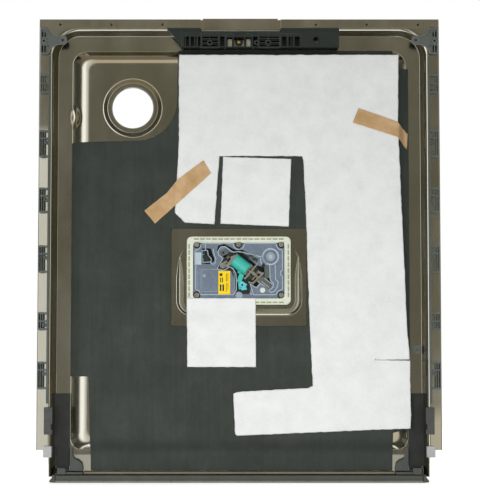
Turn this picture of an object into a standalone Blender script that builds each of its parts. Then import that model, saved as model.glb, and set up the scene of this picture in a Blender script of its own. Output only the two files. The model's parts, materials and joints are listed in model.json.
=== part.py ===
"""Inner door assembly of a built in dishwasher, on the two hinge arms that carry it.

Every size is in millimetres. X runs across the door from its centre line, Y runs in depth (the outer side of the
door faces -Y, the tub side +Y, and the sealing ring's outer face is y = 0), and Z runs up from the underside of the
bottom rail. place() turns a point into metres, counted from the middle of the hinge axis, which is the origin.
"""

import math

import bmesh
import bpy
from mathutils import Matrix, Vector

MM = 0.001
GAP = 0.3  # between pieces that touch

# Door
HALF_WIDTH = 299.0
TOP = 689.0
PANEL_FOOT = 12.0
SHEET = 0.8
FLANGE_Y = -17.0
PLATEAU_Y = -9.0
RETURN_DEPTH = 10.0
STEP_HALF, STEP_TOP, STEP_RADIUS, STEP_RUN = 278.5, 673.4, 40.0, 6.5
WELL_HALF, WELL_TOP, WELL_FOOT = 250.0, 643.5, 48.0
WELL_RISE_SIDE, WELL_RISE_TOP = 28.0, 20.5

# Hinge axis, which is the origin
HINGE_Y, HINGE_Z = -22.5, 46.0
PIN_RADIUS, RUNNING = 3.0, 0.08  # RUNNING is the play between a pin and its bore
ARM_IN, ARM_OUT = 281.7, 284.7

# Vent
VENT_X, VENT_Z, VENT_RADIUS = -159.2, 556.5, 31.15
BOSS_FOOT_RADIUS, BOSS_TOP_RADIUS, BOSS_RISE = 44.8, 37.6, 3.6

# Detergent dispenser
DISP_X, DISP_Z = -0.65, 312.1
DISP_HALF_W, DISP_HALF_H, DISP_RADIUS = 76.75, 50.3, 7.0
DISP_REAR, DISP_FLOOR, DISP_FACE = -25.0, -5.7, -2.5
CAVITY_HALF_W, CAVITY_HALF_H = 67.5, 41.2
FLANGE_GROWTH = 8.0
POST_REAR = DISP_REAR + 4.6
CUP_X, CUP_Z, CUP_REAR, CUP_WALL = (-56.0, -5.0), (277.0, 312.6), -20.0, 1.8
CUP_CHAMFER = 5.0
COIL_X, COIL_Z, COIL_Y = 2.7, 321.7, -15.6
COIL_RADIUS, COIL_LENGTH, COIL_ANGLE = 9.6, 25.0, 37.0  # the axis falls this many degrees towards +X
DIAL_X, DIAL_Z, DIAL_RADIUS = 46.1, 333.1, 12.6
CAP_X, CAP_Z, CAP_RADIUS = 46.0, 300.0, 19.0
FILLER_RADIUS, FILLER_REAR, FILLER_WALL = 12.0, -9.9, 1.1
LEVER_X, LEVER_Z = -23.8, 320.4

# Mat and absorber sheets
MAT_THICK, FELT_THICK, TAPE_THICK = 2.5, 2.4, 0.4
MAT_BACK = PLATEAU_Y - GAP
MAT_FRONT = MAT_BACK - MAT_THICK
FELT_BACK = MAT_FRONT - GAP
FELT_FRONT = FELT_BACK - FELT_THICK

TRIM_BACK, TRIM_FRONT = FLANGE_Y - GAP, FLANGE_Y - 6.0

for old in list(bpy.data.objects):
    bpy.data.objects.remove(old, do_unlink=True)
PARTS = bpy.data.collections.new("dishwasher_door")
CUTTERS = bpy.data.collections.new("cutters")
for group in (PARTS, CUTTERS):
    bpy.context.scene.collection.children.link(group)


def place(x, y, z):
    return Vector((x, y - HINGE_Y, z - HINGE_Z)) * MM


def material(name, colour, roughness, metallic=0.0):
    made = bpy.data.materials.get(name) or bpy.data.materials.new(name)
    made.use_nodes = True
    shader = made.node_tree.nodes["Principled BSDF"]
    shader.inputs["Base Color"].default_value = (*colour, 1.0)
    shader.inputs["Roughness"].default_value = roughness
    shader.inputs["Metallic"].default_value = metallic
    return made


STEEL = material("stainless", (0.42, 0.40, 0.34), 0.28, 1.0)
ZINC = material("zinc_steel", (0.62, 0.60, 0.52), 0.35, 1.0)
TRIM = material("grey_plastic", (0.16, 0.18, 0.18), 0.5)
DARK = material("dark_plastic", (0.012, 0.02, 0.017), 0.45)
PALE = material("pale_grey_plastic", (0.42, 0.43, 0.42), 0.5)
BITUMEN = material("bitumen", (0.045, 0.056, 0.052), 0.85)
FELT = material("white_felt", (0.72, 0.74, 0.76), 0.95)
PAPER = material("tan_tape", (0.42, 0.24, 0.09), 0.7)
CREAM = material("cream_plastic", (0.70, 0.74, 0.62), 0.45)
CLEAR = material("smoky_cover", (0.25, 0.31, 0.38), 0.2)
TEAL = material("teal_plastic", (0.07, 0.50, 0.42), 0.35)
YELLOW = material("yellow_label", (0.92, 0.68, 0.01), 0.5)
BRASS = material("brass", (0.60, 0.50, 0.28), 0.35, 1.0)
RUBBER = material("rubber", (0.05, 0.05, 0.05), 0.8)


def put(name, mesh, centre, look, rotation=None):
    """A mesh in metres as a named object at a place in the door's millimetres."""
    piece = bpy.data.objects.new(name, mesh)
    (PARTS if look else CUTTERS).objects.link(piece)
    piece.location = place(*centre)
    if rotation is not None:
        piece.rotation_euler = rotation
    if look:
        mesh.materials.clear()
        mesh.materials.append(look)
    else:
        piece.hide_render = True
        piece.display_type = "WIRE"
    return piece


def box(name, xs, ys, zs, look=None, rotation=None):
    low, high = (Vector(side) for side in zip(*(sorted(pair) for pair in (xs, ys, zs))))
    shape = bmesh.new()
    bmesh.ops.create_cube(shape, size=1.0)
    bmesh.ops.scale(shape, vec=(high - low) * MM, verts=shape.verts)
    mesh = bpy.data.meshes.new(name)
    shape.to_mesh(mesh)
    shape.free()
    return put(name, mesh, (low + high) / 2, look, rotation)


def rod(name, centre, radius, length, axis, look=None, sides=20, end_radius=None):
    shape = bmesh.new()
    bmesh.ops.create_cone(
        shape,
        cap_ends=True,
        segments=sides,
        radius1=radius * MM,
        radius2=(radius if end_radius is None else end_radius) * MM,
        depth=length * MM,
    )
    turn = Vector((0, 0, 1)).rotation_difference(Vector(axis)).to_matrix()
    bmesh.ops.rotate(shape, cent=(0, 0, 0), matrix=turn, verts=shape.verts)
    mesh = bpy.data.meshes.new(name)
    shape.to_mesh(mesh)
    shape.free()
    mesh.shade_smooth()
    mesh.set_sharp_from_angle(angle=math.radians(40))
    return put(name, mesh, centre, look)


def mesh_of_curve(name, curve, turn):
    """The curve's shape as a mesh, with its caps welded."""
    holder = bpy.data.objects.new(name + "_outline", curve)
    CUTTERS.objects.link(holder)
    bpy.context.view_layer.update()
    mesh = bpy.data.meshes.new_from_object(holder.evaluated_get(bpy.context.evaluated_depsgraph_get()))
    mesh.name = name
    bpy.data.objects.remove(holder)
    shape = bmesh.new()
    shape.from_mesh(mesh)
    bmesh.ops.remove_doubles(shape, verts=shape.verts, dist=0.000002)
    bmesh.ops.transform(shape, matrix=turn.to_4x4(), verts=shape.verts)
    bmesh.ops.recalc_face_normals(shape, faces=shape.faces)
    shape.to_mesh(mesh)
    shape.free()
    return mesh


def prism(name, outline, span, axis, look=None, holes=()):
    """An outline extruded along Y, with points (x, z), or along X, with points (y, z)."""
    curve = bpy.data.curves.new(name, "CURVE")
    curve.dimensions = "2D"
    curve.fill_mode = "BOTH"
    curve.extrude = abs(span[1] - span[0]) / 2 * MM
    middle = (span[0] + span[1]) / 2
    for points in (outline, *holes):
        spline = curve.splines.new("POLY")
        spline.points.add(len(points) - 1)
        spline.use_cyclic_u = True
        for point, (across, up) in zip(spline.points, points):
            point.co = (across * MM, up * MM, 0, 1)
    if axis == "Y":
        turn = Matrix(((1, 0, 0), (0, 0, -1), (0, 1, 0)))
        origin = (0, middle, 0)
    else:
        turn = Matrix(((0, 0, 1), (1, 0, 0), (0, 1, 0)))
        origin = (middle, 0, 0)
    return put(name, mesh_of_curve(name, curve, turn), origin, look)


def wire(name, points, radius, look=None):
    curve = bpy.data.curves.new(name, "CURVE")
    curve.dimensions = "3D"
    curve.bevel_depth = radius * MM
    curve.bevel_resolution = 1
    curve.use_fill_caps = True
    spline = curve.splines.new("POLY")
    spline.points.add(len(points) - 1)
    for point, at in zip(spline.points, points):
        point.co = (*(Vector(at) * MM), 1)
    return put(name, mesh_of_curve(name, curve, Matrix.Identity(3)), (0, 0, 0), look)


def turned(name, profile, centre, look=None, steps=40):
    """A closed profile of (radius, height) turned about an axis towards -Y; its outer side runs downwards."""
    mesh = bpy.data.meshes.new(name)
    count = len(profile)
    edges = [(i, (i + 1) % count) for i in range(count)]
    mesh.from_pydata([(r * MM, 0, h * MM) for r, h in profile], edges, [])
    piece = put(name, mesh, centre, look, (math.radians(90), 0, 0))
    screw = piece.modifiers.new("turn", "SCREW")
    screw.axis = "Z"
    screw.angle = math.radians(360)
    screw.steps = screw.render_steps = steps
    screw.use_merge_vertices = True
    screw.merge_threshold = 0.000001
    return piece


def boolean(piece, operation, tools):
    for tool in tools:
        if tool.name not in CUTTERS.objects:
            PARTS.objects.unlink(tool)
            CUTTERS.objects.link(tool)
            tool.hide_render = True
            tool.display_type = "WIRE"
        change = piece.modifiers.new(operation.lower(), "BOOLEAN")
        change.operation = operation
        change.solver = "EXACT"
        change.object = tool
    return piece


def cut(piece, *tools):
    return boolean(piece, "DIFFERENCE", tools)


def join(piece, *tools):
    return boolean(piece, "UNION", tools)


def rounded(points, radius, steps=4):
    """The corners of an outline, in order round it, each made an arc of the radius."""
    made = []
    for i, corner in enumerate(points):
        here = Vector(corner)
        before = Vector(points[i - 1]) - here
        after = Vector(points[(i + 1) % len(points)]) - here
        half_angle = before.angle(after) / 2
        reach = min(radius / math.tan(half_angle), before.length / 2.01, after.length / 2.01)
        bend = reach * math.tan(half_angle)
        centre = here + (before.normalized() + after.normalized()).normalized() * bend / math.sin(half_angle)
        start = here + before.normalized() * reach - centre
        end = here + after.normalized() * reach - centre
        turn = start.angle_signed(end)
        for step in range(steps + 1):
            angle = -turn * step / steps
            cos, sin = math.cos(angle), math.sin(angle)
            made.append((centre.x + start.x * cos - start.y * sin, centre.y + start.x * sin + start.y * cos))
    return made


def rectangle(x, z, half_w, half_h, radius, steps=4):
    corners = [(x - half_w, z - half_h), (x + half_w, z - half_h), (x + half_w, z + half_h), (x - half_w, z + half_h)]
    return rounded(corners, radius, steps)


def carry(empty_name, at, *pieces):
    """Hangs moving pieces on an empty that stands on their joint's axis."""
    pivot = bpy.data.objects.new(empty_name, None)
    PARTS.objects.link(pivot)
    pivot.location = place(*at)
    bpy.context.view_layer.update()
    for piece in pieces:
        piece.parent = pivot
        piece.matrix_parent_inverse = pivot.matrix_world.inverted()


def along_coil(distance, across=0.0, depth=0.0):
    """A point at a distance down the coil's axis from its middle, and across it, in door millimetres."""
    angle = math.radians(COIL_ANGLE)
    right, down = math.cos(angle), math.sin(angle)
    return (
        COIL_X + distance * right + across * down,
        COIL_Y + depth,
        COIL_Z - distance * down + across * right,
    )


def coil_box(name, along, across, ys, look=None):
    """A box square to the coil's axis."""
    middle = along_coil((along[0] + along[1]) / 2, (across[0] + across[1]) / 2)
    half_l, half_w = (along[1] - along[0]) / 2, (across[1] - across[0]) / 2
    return box(
        name,
        (middle[0] - half_l, middle[0] + half_l),
        ys,
        (middle[2] - half_w, middle[2] + half_w),
        look,
        (0, math.radians(COIL_ANGLE), 0),
    )


# ---------------------------------------------------------------- the pressed steel panel


def arc_corner(x, z, radius, start, steps=6):
    angles = (math.radians(start + 90 * i / steps) for i in range(steps + 1))
    return [(x + radius * math.cos(a), z + radius * math.sin(a)) for a in angles]


def rim(half, top, radius):
    """An open line up the right side, over the top and down the left side."""
    over = arc_corner(half - radius, top - radius, radius, 0) + arc_corner(radius - half, top - radius, radius, 90)
    return [(half, PANEL_FOOT), *over, (-half, PANEL_FOOT)]


def well(share):
    """A closed loop at a share of the way from the well's foot to the raised panel."""
    half = WELL_HALF - WELL_RISE_SIDE * share
    top = WELL_TOP - WELL_RISE_TOP * share
    foot = WELL_FOOT + WELL_RISE_TOP * share
    upper, lower = 21.0 - 7.0 * share, 28.0 - 8.0 * share
    return (
        arc_corner(half - upper, top - upper, upper, 0)
        + arc_corner(upper - half, top - upper, upper, 90)
        + arc_corner(lower - half, foot + lower, lower, 180)
        + arc_corner(half - lower, foot + lower, lower, 270)
    )


def inner_panel():
    shape = bmesh.new()

    def line(points, y, closed):
        verts = [shape.verts.new(Vector((x, y, z)) * MM) for x, z in points]
        pairs = zip(verts, verts[1:] + verts[:1] if closed else verts[1:])
        return verts, [shape.edges.new(pair) for pair in pairs]

    def bridge(first, second, closed):
        count = len(first) if closed else len(first) - 1
        for i in range(count):
            j = (i + 1) % len(first)
            shape.faces.new((first[i], first[j], second[j], second[i]))

    rims = [
        line(rim(HALF_WIDTH, TOP, 4.0), FLANGE_Y + RETURN_DEPTH, False),
        line(rim(HALF_WIDTH, TOP, 4.0), FLANGE_Y, False),
        line(rim(STEP_HALF, STEP_TOP, STEP_RADIUS), FLANGE_Y, False),
        line(rim(STEP_HALF - STEP_RUN, STEP_TOP - STEP_RUN, STEP_RADIUS - STEP_RUN), 0.0, False),
    ]
    for (outer, _), (inner, _) in zip(rims, rims[1:]):
        bridge(outer, inner, False)
    loops = []
    for share in (0.0, 0.12, 0.32, 0.6, 1.0):
        height = PLATEAU_Y * (1 - (1 - share) ** 3)
        loops.append(line(well(share), height, True))
    for (outer, _), (inner, _) in zip(loops, loops[1:]):
        bridge(outer, inner, True)
    shape.faces.new(loops[-1][0])
    foot = shape.edges.new((rims[-1][0][0], rims[-1][0][-1]))
    bmesh.ops.triangle_fill(shape, edges=rims[-1][1] + [foot] + loops[0][1], use_beauty=True)
    bmesh.ops.recalc_face_normals(shape, faces=shape.faces)
    shape.faces.ensure_lookup_table()
    if max(shape.faces, key=lambda face: face.calc_area()).normal.y > 0:
        bmesh.ops.reverse_faces(shape, faces=shape.faces)
    mesh = bpy.data.meshes.new("inner_panel")
    shape.to_mesh(mesh)
    shape.free()
    panel = put("inner_panel", mesh, (0, 0, 0), STEEL)
    solid = panel.modifiers.new("sheet", "SOLIDIFY")
    solid.thickness = SHEET * MM
    solid.offset = -1.0
    solid.use_even_offset = True

    cut(
        panel,
        rod("vent_blank", (VENT_X, PLATEAU_Y, VENT_Z), BOSS_FOOT_RADIUS - 1.3, 12, (0, 1, 0), sides=40),
        prism(
            "dispenser_blank",
            rectangle(DISP_X, DISP_Z, DISP_HALF_W + 0.8, DISP_HALF_H + 0.8, DISP_RADIUS + 0.8),
            (-15, 5),
            "Y",
        ),
    )
    join(
        panel,
        turned(
            "vent_boss",
            [
                (VENT_RADIUS, BOSS_RISE),
                (BOSS_TOP_RADIUS, BOSS_RISE),
                (BOSS_FOOT_RADIUS + 0.6, -SHEET * 0.25),
                (BOSS_FOOT_RADIUS + 0.6, -SHEET * 0.75),
                (BOSS_TOP_RADIUS - 0.4, BOSS_RISE - SHEET),
                (VENT_RADIUS, BOSS_RISE - SHEET),
            ],
            (VENT_X, PLATEAU_Y, VENT_Z),
        ),
    )
    for side in (-1, 1):
        cut(
            panel,
            box(f"flange_end_{side}", (side * 280.5, side * 305), (-30, 5), (0, 48)),
            box(f"arm_notch_{side}", (side * 280.5, side * (ARM_OUT + 1.3)), (-30, 5), (0, 58)),
        )
    for x in (-267.6, -191.0, -114.8, 114.8, 191.0, 267.6):
        cut(panel, rod(f"top_hole_{x:.0f}", (x, FLANGE_Y, 681.2), 1.7, 7, (0, 1, 0), sides=12))
    return panel


# ---------------------------------------------------------------- pieces at the top edge


def latch_plate():
    plate = box("latch_plate", (-54.4, 57.6), (FLANGE_Y - 1.3, FLANGE_Y - GAP), (671.8, TOP + 1.3), ZINC)
    return join(
        plate,
        box("latch_plate_top", (-54.4, 57.6), (FLANGE_Y - 1.3, FLANGE_Y + 9), (TOP + GAP, TOP + 1.3)),
        box("latch_plate_lip", (-56.6, 61.3), (FLANGE_Y - 4, FLANGE_Y - 1.0), (671.8, 672.8)),
    )


def latch_bracket():
    face = [
        (-108.6, 676), (-57.6, 676), (-57.6, 671), (62.4, 671), (62.4, 676), (149.5, 676),
        (149.5, 646.6), (-85.8, 646.6), (-89.9, 654.4),
    ]  # fmt: skip
    bracket = prism("latch_bracket", face, (FLANGE_Y - 2.6, FLANGE_Y - GAP), "Y", DARK)
    join(bracket, box("latch_bracket_body", (-84, 148), (FLANGE_Y - 1, -2.6), (646.6, 665)))
    pockets = [(-82, -75), (-72.5, -64), (-61.5, -57.5), (-55, -32), (-28.5, -22), (20, 27.5), (30.5, 59.5),
               (64, 71), (74, 80), (83, 91)]  # fmt: skip
    for left, right in pockets:
        cut(bracket, box(f"bracket_pocket_{left}", (left, right), (-30, -4.4), (648.6, 663)))
    for left, right in ((-18.4, -10.0), (-7.8, 7.2), (9.4, 18.4)):
        cut(bracket, box(f"bracket_slot_{left}", (left, right), (-30, 0), (648.0, 662)))
    return cut(bracket, rod("bracket_hole", (114.8, FLANGE_Y, 658.0), 4.4, 40, (0, 1, 0), sides=16))


def latch_strike():
    strike = box("latch_strike", (-17.6, 17.8), (-2.3, -0.5), (649, 661), ZINC)
    return join(
        strike,
        *(box(f"strike_leg_{x}", (x, x + 6.8), (-12, -1.4), (649, 661)) for x in (-17.6, 10.4)),
    )


def latch_rivet():
    stem = rod("latch_rivet", (-0.3, -6.4, 656.4), 2.6, 7.4, (0, 1, 0), BRASS, sides=16)
    return join(stem, rod("rivet_head", (-0.3, -11.3, 656.4), 2.8, 2.8, (0, 1, 0), sides=20, end_radius=4.4))


# ---------------------------------------------------------------- pieces down the sides


def side_trim(side, name):
    """A strip beside the step with groups of slotted ribs on the flange."""
    trim = box(f"side_trim_{name}", (side * 280.2, side * 284.4), (TRIM_FRONT, TRIM_BACK), (116, 634), TRIM)
    for foot, head in ((137, 178), (224, 251), (309, 350), (398, 436), (481, 522), (577, 606)):
        join(trim, box(f"rib_{name}_{foot}", (side * 284, side * 296.8), (TRIM_FRONT + 0.6, TRIM_BACK), (foot, head)))
        for x in (288.2, 292.2):
            cut(
                trim,
                box(f"slot_{name}_{foot}_{x}", (side * x, side * (x + 1.9)), (-30, TRIM_BACK - 1.4),
                    (foot + 3, head - 9)),
            )  # fmt: skip
    return trim


def corner_bracket(side, name):
    outline = [
        (296.6, 675.6), (283.4, 675.6), (281.8, 669.6), (277.6, 665.0), (271.5, 663.4), (258.4, 663.4), (257.6, 651.4),
        (271.0, 651.0), (278.4, 647.4), (283.0, 642.4), (284.8, 636.6), (296.6, 636.6),
    ]  # fmt: skip
    outline = [(side * x, z) for x, z in outline]
    bracket = prism(f"corner_bracket_{name}", rounded(outline, 4.0, 3), (FLANGE_Y - 5, TRIM_BACK), "Y", TRIM)
    return cut(
        bracket,
        rod(f"lobe_hole_{name}", (side * 263.9, FLANGE_Y, 657.4), 1.6, 20, (0, 1, 0), sides=12),
        box(f"bracket_rib_a_{name}", (side * 288.5, side * 294.8), (-30, TRIM_BACK - 1.4), (660, 671.5)),
        box(f"bracket_rib_b_{name}", (side * 288.5, side * 294.8), (-30, TRIM_BACK - 1.4), (639, 649.5)),
    )


def guide_block(side, name):
    block = box(f"guide_block_{name}", (side * 274.4, side * 287), (-25, TRIM_BACK), (71, 111), DARK)
    return cut(block, box(f"guide_slot_{name}", (side * 270, side * 276.4), (-30, -10), (78, 86)))


def hinge_bearing(side, name):
    """A block with a slot, open behind and below, that the arm turns in on its pin."""
    block = box(f"hinge_bearing_{name}", (side * 275.2, side * 287.4), (-30, TRIM_BACK), (37.8, 54.0), PALE)
    return cut(
        block,
        box(f"arm_slot_{name}", (side * (ARM_IN - 0.5), side * (ARM_OUT + 0.5)), (-28.2, -10), (30, 51.8)),
        rod(f"pin_bore_{name}", (side * 281.5, HINGE_Y, HINGE_Z), PIN_RADIUS + RUNNING, 20, (1, 0, 0), sides=24),
    )


def hinge_arm(side, name):
    """The flat lever on the tub: it runs back from the pin and down to its screwed foot."""
    nose = [(HINGE_Y + 5 * math.sin(math.radians(a)), HINGE_Z + 5 * math.cos(math.radians(a)))
            for a in range(0, -181, -20)]  # fmt: skip
    outline = [*nose, (8, 40), (22, 24), (24, 12), (58, 12), (60, 14), (60, 46), (58, 48), (30, 50)]
    arm = prism(f"hinge_arm_{name}", outline, (side * ARM_IN, side * ARM_OUT), "X", ZINC)
    cut(arm, rod(f"arm_bore_{name}", (side * 283, HINGE_Y, HINGE_Z), PIN_RADIUS + RUNNING, 20, (1, 0, 0), sides=24))
    for y, z in ((34, 22), (50, 38)):
        cut(arm, rod(f"arm_hole_{name}_{y}", (side * 283, y, z), 2.7, 20, (1, 0, 0), sides=16))
    return arm


def hinge_pin(side, name):
    return rod(f"hinge_pin_{name}", (side * 281.4, HINGE_Y, HINGE_Z), PIN_RADIUS, 11.2, (1, 0, 0), ZINC, sides=24)


def side_pad(side, name):
    return box(f"side_pad_{name}", (side * 251, side * 270.5), (-2.0, -GAP), (23.5, 131), BITUMEN)


def foot_bracket(side, name):
    outline = [(250.3, 50.5), (246.4, 50.5), (246.2, 41), (243.4, 35), (237, 32.2), (232.2, 27.6), (230.4, 17),
               (250.3, 17)]  # fmt: skip
    outline = [(side * x, z) for x, z in outline]
    return prism(f"foot_bracket_{name}", outline, (-7, -GAP), "Y", TRIM)


def rail_clip(side, name):
    clip = box(f"rail_clip_{name}", (side * 256, side * 271.6), (-12, -2.6), (11.9, 21.4), TRIM)
    join(clip, box(f"ledge_{name}", (side * 231, side * 257), (-9, -2.6), (11.9, 15.6)))
    return cut(clip, box(f"clip_slot_{name}", (side * 269, side * 270.6), (-20, -6), (13.2, 20.5)))


def screw_tab():
    tab = box("screw_tab", (258, 270.2), (-2.2, -GAP), (189.8, 201.8), TRIM)
    return cut(tab, rod("tab_hole", (264.8, 0, 195.9), 2.2, 10, (0, 1, 0), sides=14))


# ---------------------------------------------------------------- pieces along the bottom


def bottom_rail():
    profile = [(-15, 0), (4, 0), (4, 2), (-3, 2), (-3, 10.6), (-12, 10.6), (-12, 3.6), (-15, 3.6)]
    return prism("bottom_rail", profile, (-271, 271), "X", TRIM)


def rail_cap(side, name):
    outline = [(271.3, 0), (279.6, 0.6), (279.2, 4), (276, 7), (275.2, 11.6), (271.3, 11.6)]
    outline = [(side * x, z) for x, z in outline]
    return prism(f"rail_cap_{name}", outline, (-14.5, -3), "Y", TRIM)


def lower_seal():
    return box("lower_seal", (-230, 230), (-2.2, -GAP), (12.2, 15.6), RUBBER)


# ---------------------------------------------------------------- mat, felt sheets and tapes


def damping_mat():
    outline = [
        (-92, 640), (231, 640), (231, 617), (247, 617), (247, 80), (246, 67), (227, 61), (227, 17), (-220, 17),
        (-220, 48), (-223, 156), (-247, 156), (-247, 505), (-145, 507.6), (-130, 511.3), (-114, 520.7), (-102, 535.2),
        (-93, 555),
    ]  # fmt: skip
    window = rectangle(-0.6, 303.2, 100.4, 72.5, 2.0, 2)
    return prism("damping_mat", outline, (MAT_FRONT, MAT_BACK), "Y", BITUMEN, [window])


def absorber_sheet():
    outline = [
        (-90.2, 637), (238.9, 637), (237.4, 542), (240.6, 442.6), (245.3, 326.4), (248.5, 234.8), (252.7, 180),
        (254.1, 99.6), (253, 79.5), (-3.1, 68.9), (-5.9, 71.5), (-8.8, 130), (-3.2, 133.4), (102.6, 139.2),
        (108.7, 142.5), (104.2, 240), (101.8, 312), (100, 375.5), (95.9, 477.7), (94, 484), (-29.3, 484),
        (-36.8, 381.8), (-81.2, 384.4), (-95.8, 398.9), (-92.6, 453.6), (-90.3, 507),
    ]  # fmt: skip
    return prism("absorber_sheet", outline, (FELT_FRONT, FELT_BACK), "Y", FELT)


def absorber_square_upper():
    outline = [(-24.2, 482.8), (77.8, 479.8), (73.6, 378.4), (-27.8, 382.7)]
    return prism("absorber_square_upper", outline, (FELT_FRONT, FELT_BACK), "Y", FELT)


def absorber_square_lower():
    """A square that lies over the dispenser's corner and comes down to the mat below it."""
    lift = DISP_REAR - GAP
    outline = [
        (lift, 271.4), (lift, 260), (FELT_BACK, 226), (FELT_BACK, 169.8), (FELT_FRONT, 169.8), (FELT_FRONT, 227),
        (lift - FELT_THICK, 261.5), (lift - FELT_THICK, 271.4),
    ]  # fmt: skip
    return prism("absorber_square_lower", outline, (-77, 25), "X", FELT)


def tapes():
    front, back = FELT_FRONT - GAP - TAPE_THICK, FELT_FRONT - GAP
    left = [(-53.3, 477.4), (-41.7, 458), (-95.9, 409.2), (-125.4, 383.1), (-141.2, 402.3), (-107.9, 428.9),
            (-91, 449.3)]  # fmt: skip
    right = [(178.3, 555.9), (236.2, 535.5), (252.5, 518.3), (251, 494.7), (236, 512.6), (169.3, 534)]
    prism("tape_left", left, (front, back), "Y", PAPER)
    prism("tape_right", right, (front, back), "Y", PAPER)


# ---------------------------------------------------------------- detergent dispenser


def dispenser_body():
    grown_w, grown_h = DISP_HALF_W + FLANGE_GROWTH, DISP_HALF_H + FLANGE_GROWTH
    flange = rectangle(DISP_X, DISP_Z, grown_w, grown_h, 10.0)
    body = prism("dispenser_body", flange, (DISP_FLOOR, DISP_FACE), "Y", CREAM)
    cavity = rectangle(DISP_X, DISP_Z, CAVITY_HALF_W, CAVITY_HALF_H, 5.0)
    wall = prism(
        "dispenser_wall",
        rectangle(DISP_X, DISP_Z, DISP_HALF_W, DISP_HALF_H, DISP_RADIUS),
        (DISP_REAR, DISP_FLOOR + 0.6),
        "Y",
        holes=[cavity],
    )
    cup = prism("cup_block", cup_outline(CUP_WALL), (CUP_REAR - 1.5, DISP_FLOOR + 0.6), "Y")
    filler_depth = DISP_FLOOR + 0.6 - FILLER_REAR + FILLER_WALL
    filler = rod(
        "filler_block",
        (CAP_X, DISP_FLOOR + 0.6 - filler_depth / 2, CAP_Z),
        FILLER_RADIUS + FILLER_WALL,
        filler_depth,
        (0, 1, 0),
        sides=28,
    )
    join(body, wall, cup, filler)
    for i, (x, z) in enumerate(screw_places()):
        front = DISP_FLOOR + 0.6
        post = rod(f"screw_post_{i}", (x, (POST_REAR + front) / 2, z), 4.0, front - POST_REAR, (0, 1, 0), sides=12)
        recess = rod(f"screw_recess_{i}", (x, POST_REAR - 6.0, z), 4.6, 12.0, (0, 1, 0), sides=18)
        join(body, post)
        cut(body, recess)
    cut(
        body,
        prism("cup_space", cup_outline(0.0), (CUP_REAR, 5), "Y"),
        rod("filler_hole", (CAP_X, FILLER_REAR + 10, CAP_Z), FILLER_RADIUS, 20, (0, 1, 0), sides=28),
        box("catch_window", (-1.6, 6.4), (-10, 5), (292.5, 298.5)),
        rod("lever_bore", (LEVER_X, DISP_FLOOR, LEVER_Z), 2.2, 20, (0, 1, 0), sides=14),
    )
    return body


def cup_outline(grow):
    """The detergent cup, with its corner by the solenoid cut off."""
    (left, right), (foot, head) = CUP_X, CUP_Z
    corners = [(left - grow, foot - grow), (right + grow, foot - grow), (right + grow, head - CUP_CHAMFER + grow / 2),
               (right - CUP_CHAMFER + grow / 2, head + grow), (left - grow, head + grow)]  # fmt: skip
    return corners


def screw_places():
    return [(x, z) for z in (351.0, 275.9) for x in (-62.7, -1.0, 62.3)]


def dispenser_screws():
    """Flat head screws that hold the rear cover on its posts."""
    for i, (x, z) in enumerate(screw_places()):
        head = rod(f"dispenser_screw_{i + 1}", (x, POST_REAR - GAP - 1.1, z), 4.0, 2.2, (0, 1, 0), ZINC, sides=18)
        cut(head, box(f"drive_a_{i}", (x - 2.2, x + 2.2), (-40, POST_REAR - 1.9), (z - 0.45, z + 0.45)))
        cut(head, box(f"drive_b_{i}", (x - 0.45, x + 0.45), (-40, POST_REAR - 1.9), (z - 2.2, z + 2.2)))


def dispenser_gasket():
    grown_w, grown_h = DISP_HALF_W + FLANGE_GROWTH - 1, DISP_HALF_H + FLANGE_GROWTH - 1
    return prism(
        "dispenser_gasket",
        rectangle(DISP_X, DISP_Z, grown_w, grown_h, 9.0),
        (PLATEAU_Y + SHEET + GAP, DISP_FLOOR - GAP),
        "Y",
        RUBBER,
        [rectangle(DISP_X, DISP_Z, DISP_HALF_W + 1.4, DISP_HALF_H + 1.4, DISP_RADIUS + 1)],
    )


def dispenser_cover():
    """A translucent plate in the rear opening, notched round the screws and open over the solenoid."""
    cover = prism(
        "dispenser_cover",
        rectangle(DISP_X, DISP_Z, CAVITY_HALF_W - 0.6, CAVITY_HALF_H - 0.6, 4.5),
        (-24.0, -22.4),
        "Y",
        CLEAR,
    )
    for i, (x, z) in enumerate(screw_places()):
        cut(cover, rod(f"cover_notch_{i}", (x, -23, z), 5.6, 10, (0, 1, 0), sides=20))
    window = [(-31, 349), (-22, 352), (-7, 343.5), (1, 345), (24, 333), (36, 317), (40, 309), (47, 297), (40, 283),
              (16, 285), (16, 277.5), (-5, 277.5), (-7, 300), (-12, 311), (-28, 314.5), (-20, 329), (-33, 341)]  # fmt: skip
    sensor = [(-55, 345), (-42, 345), (-36, 327), (-44, 322), (-55, 322)]
    return cut(cover, prism("cover_window", window, (-30, -15), "Y"), prism("sensor_window", sensor, (-30, -15), "Y"))


def dispenser_label():
    return box("dispenser_label", (-30.8, -13.2), (-24.7, -24.3), (277.2, 311.6), YELLOW)


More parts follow.
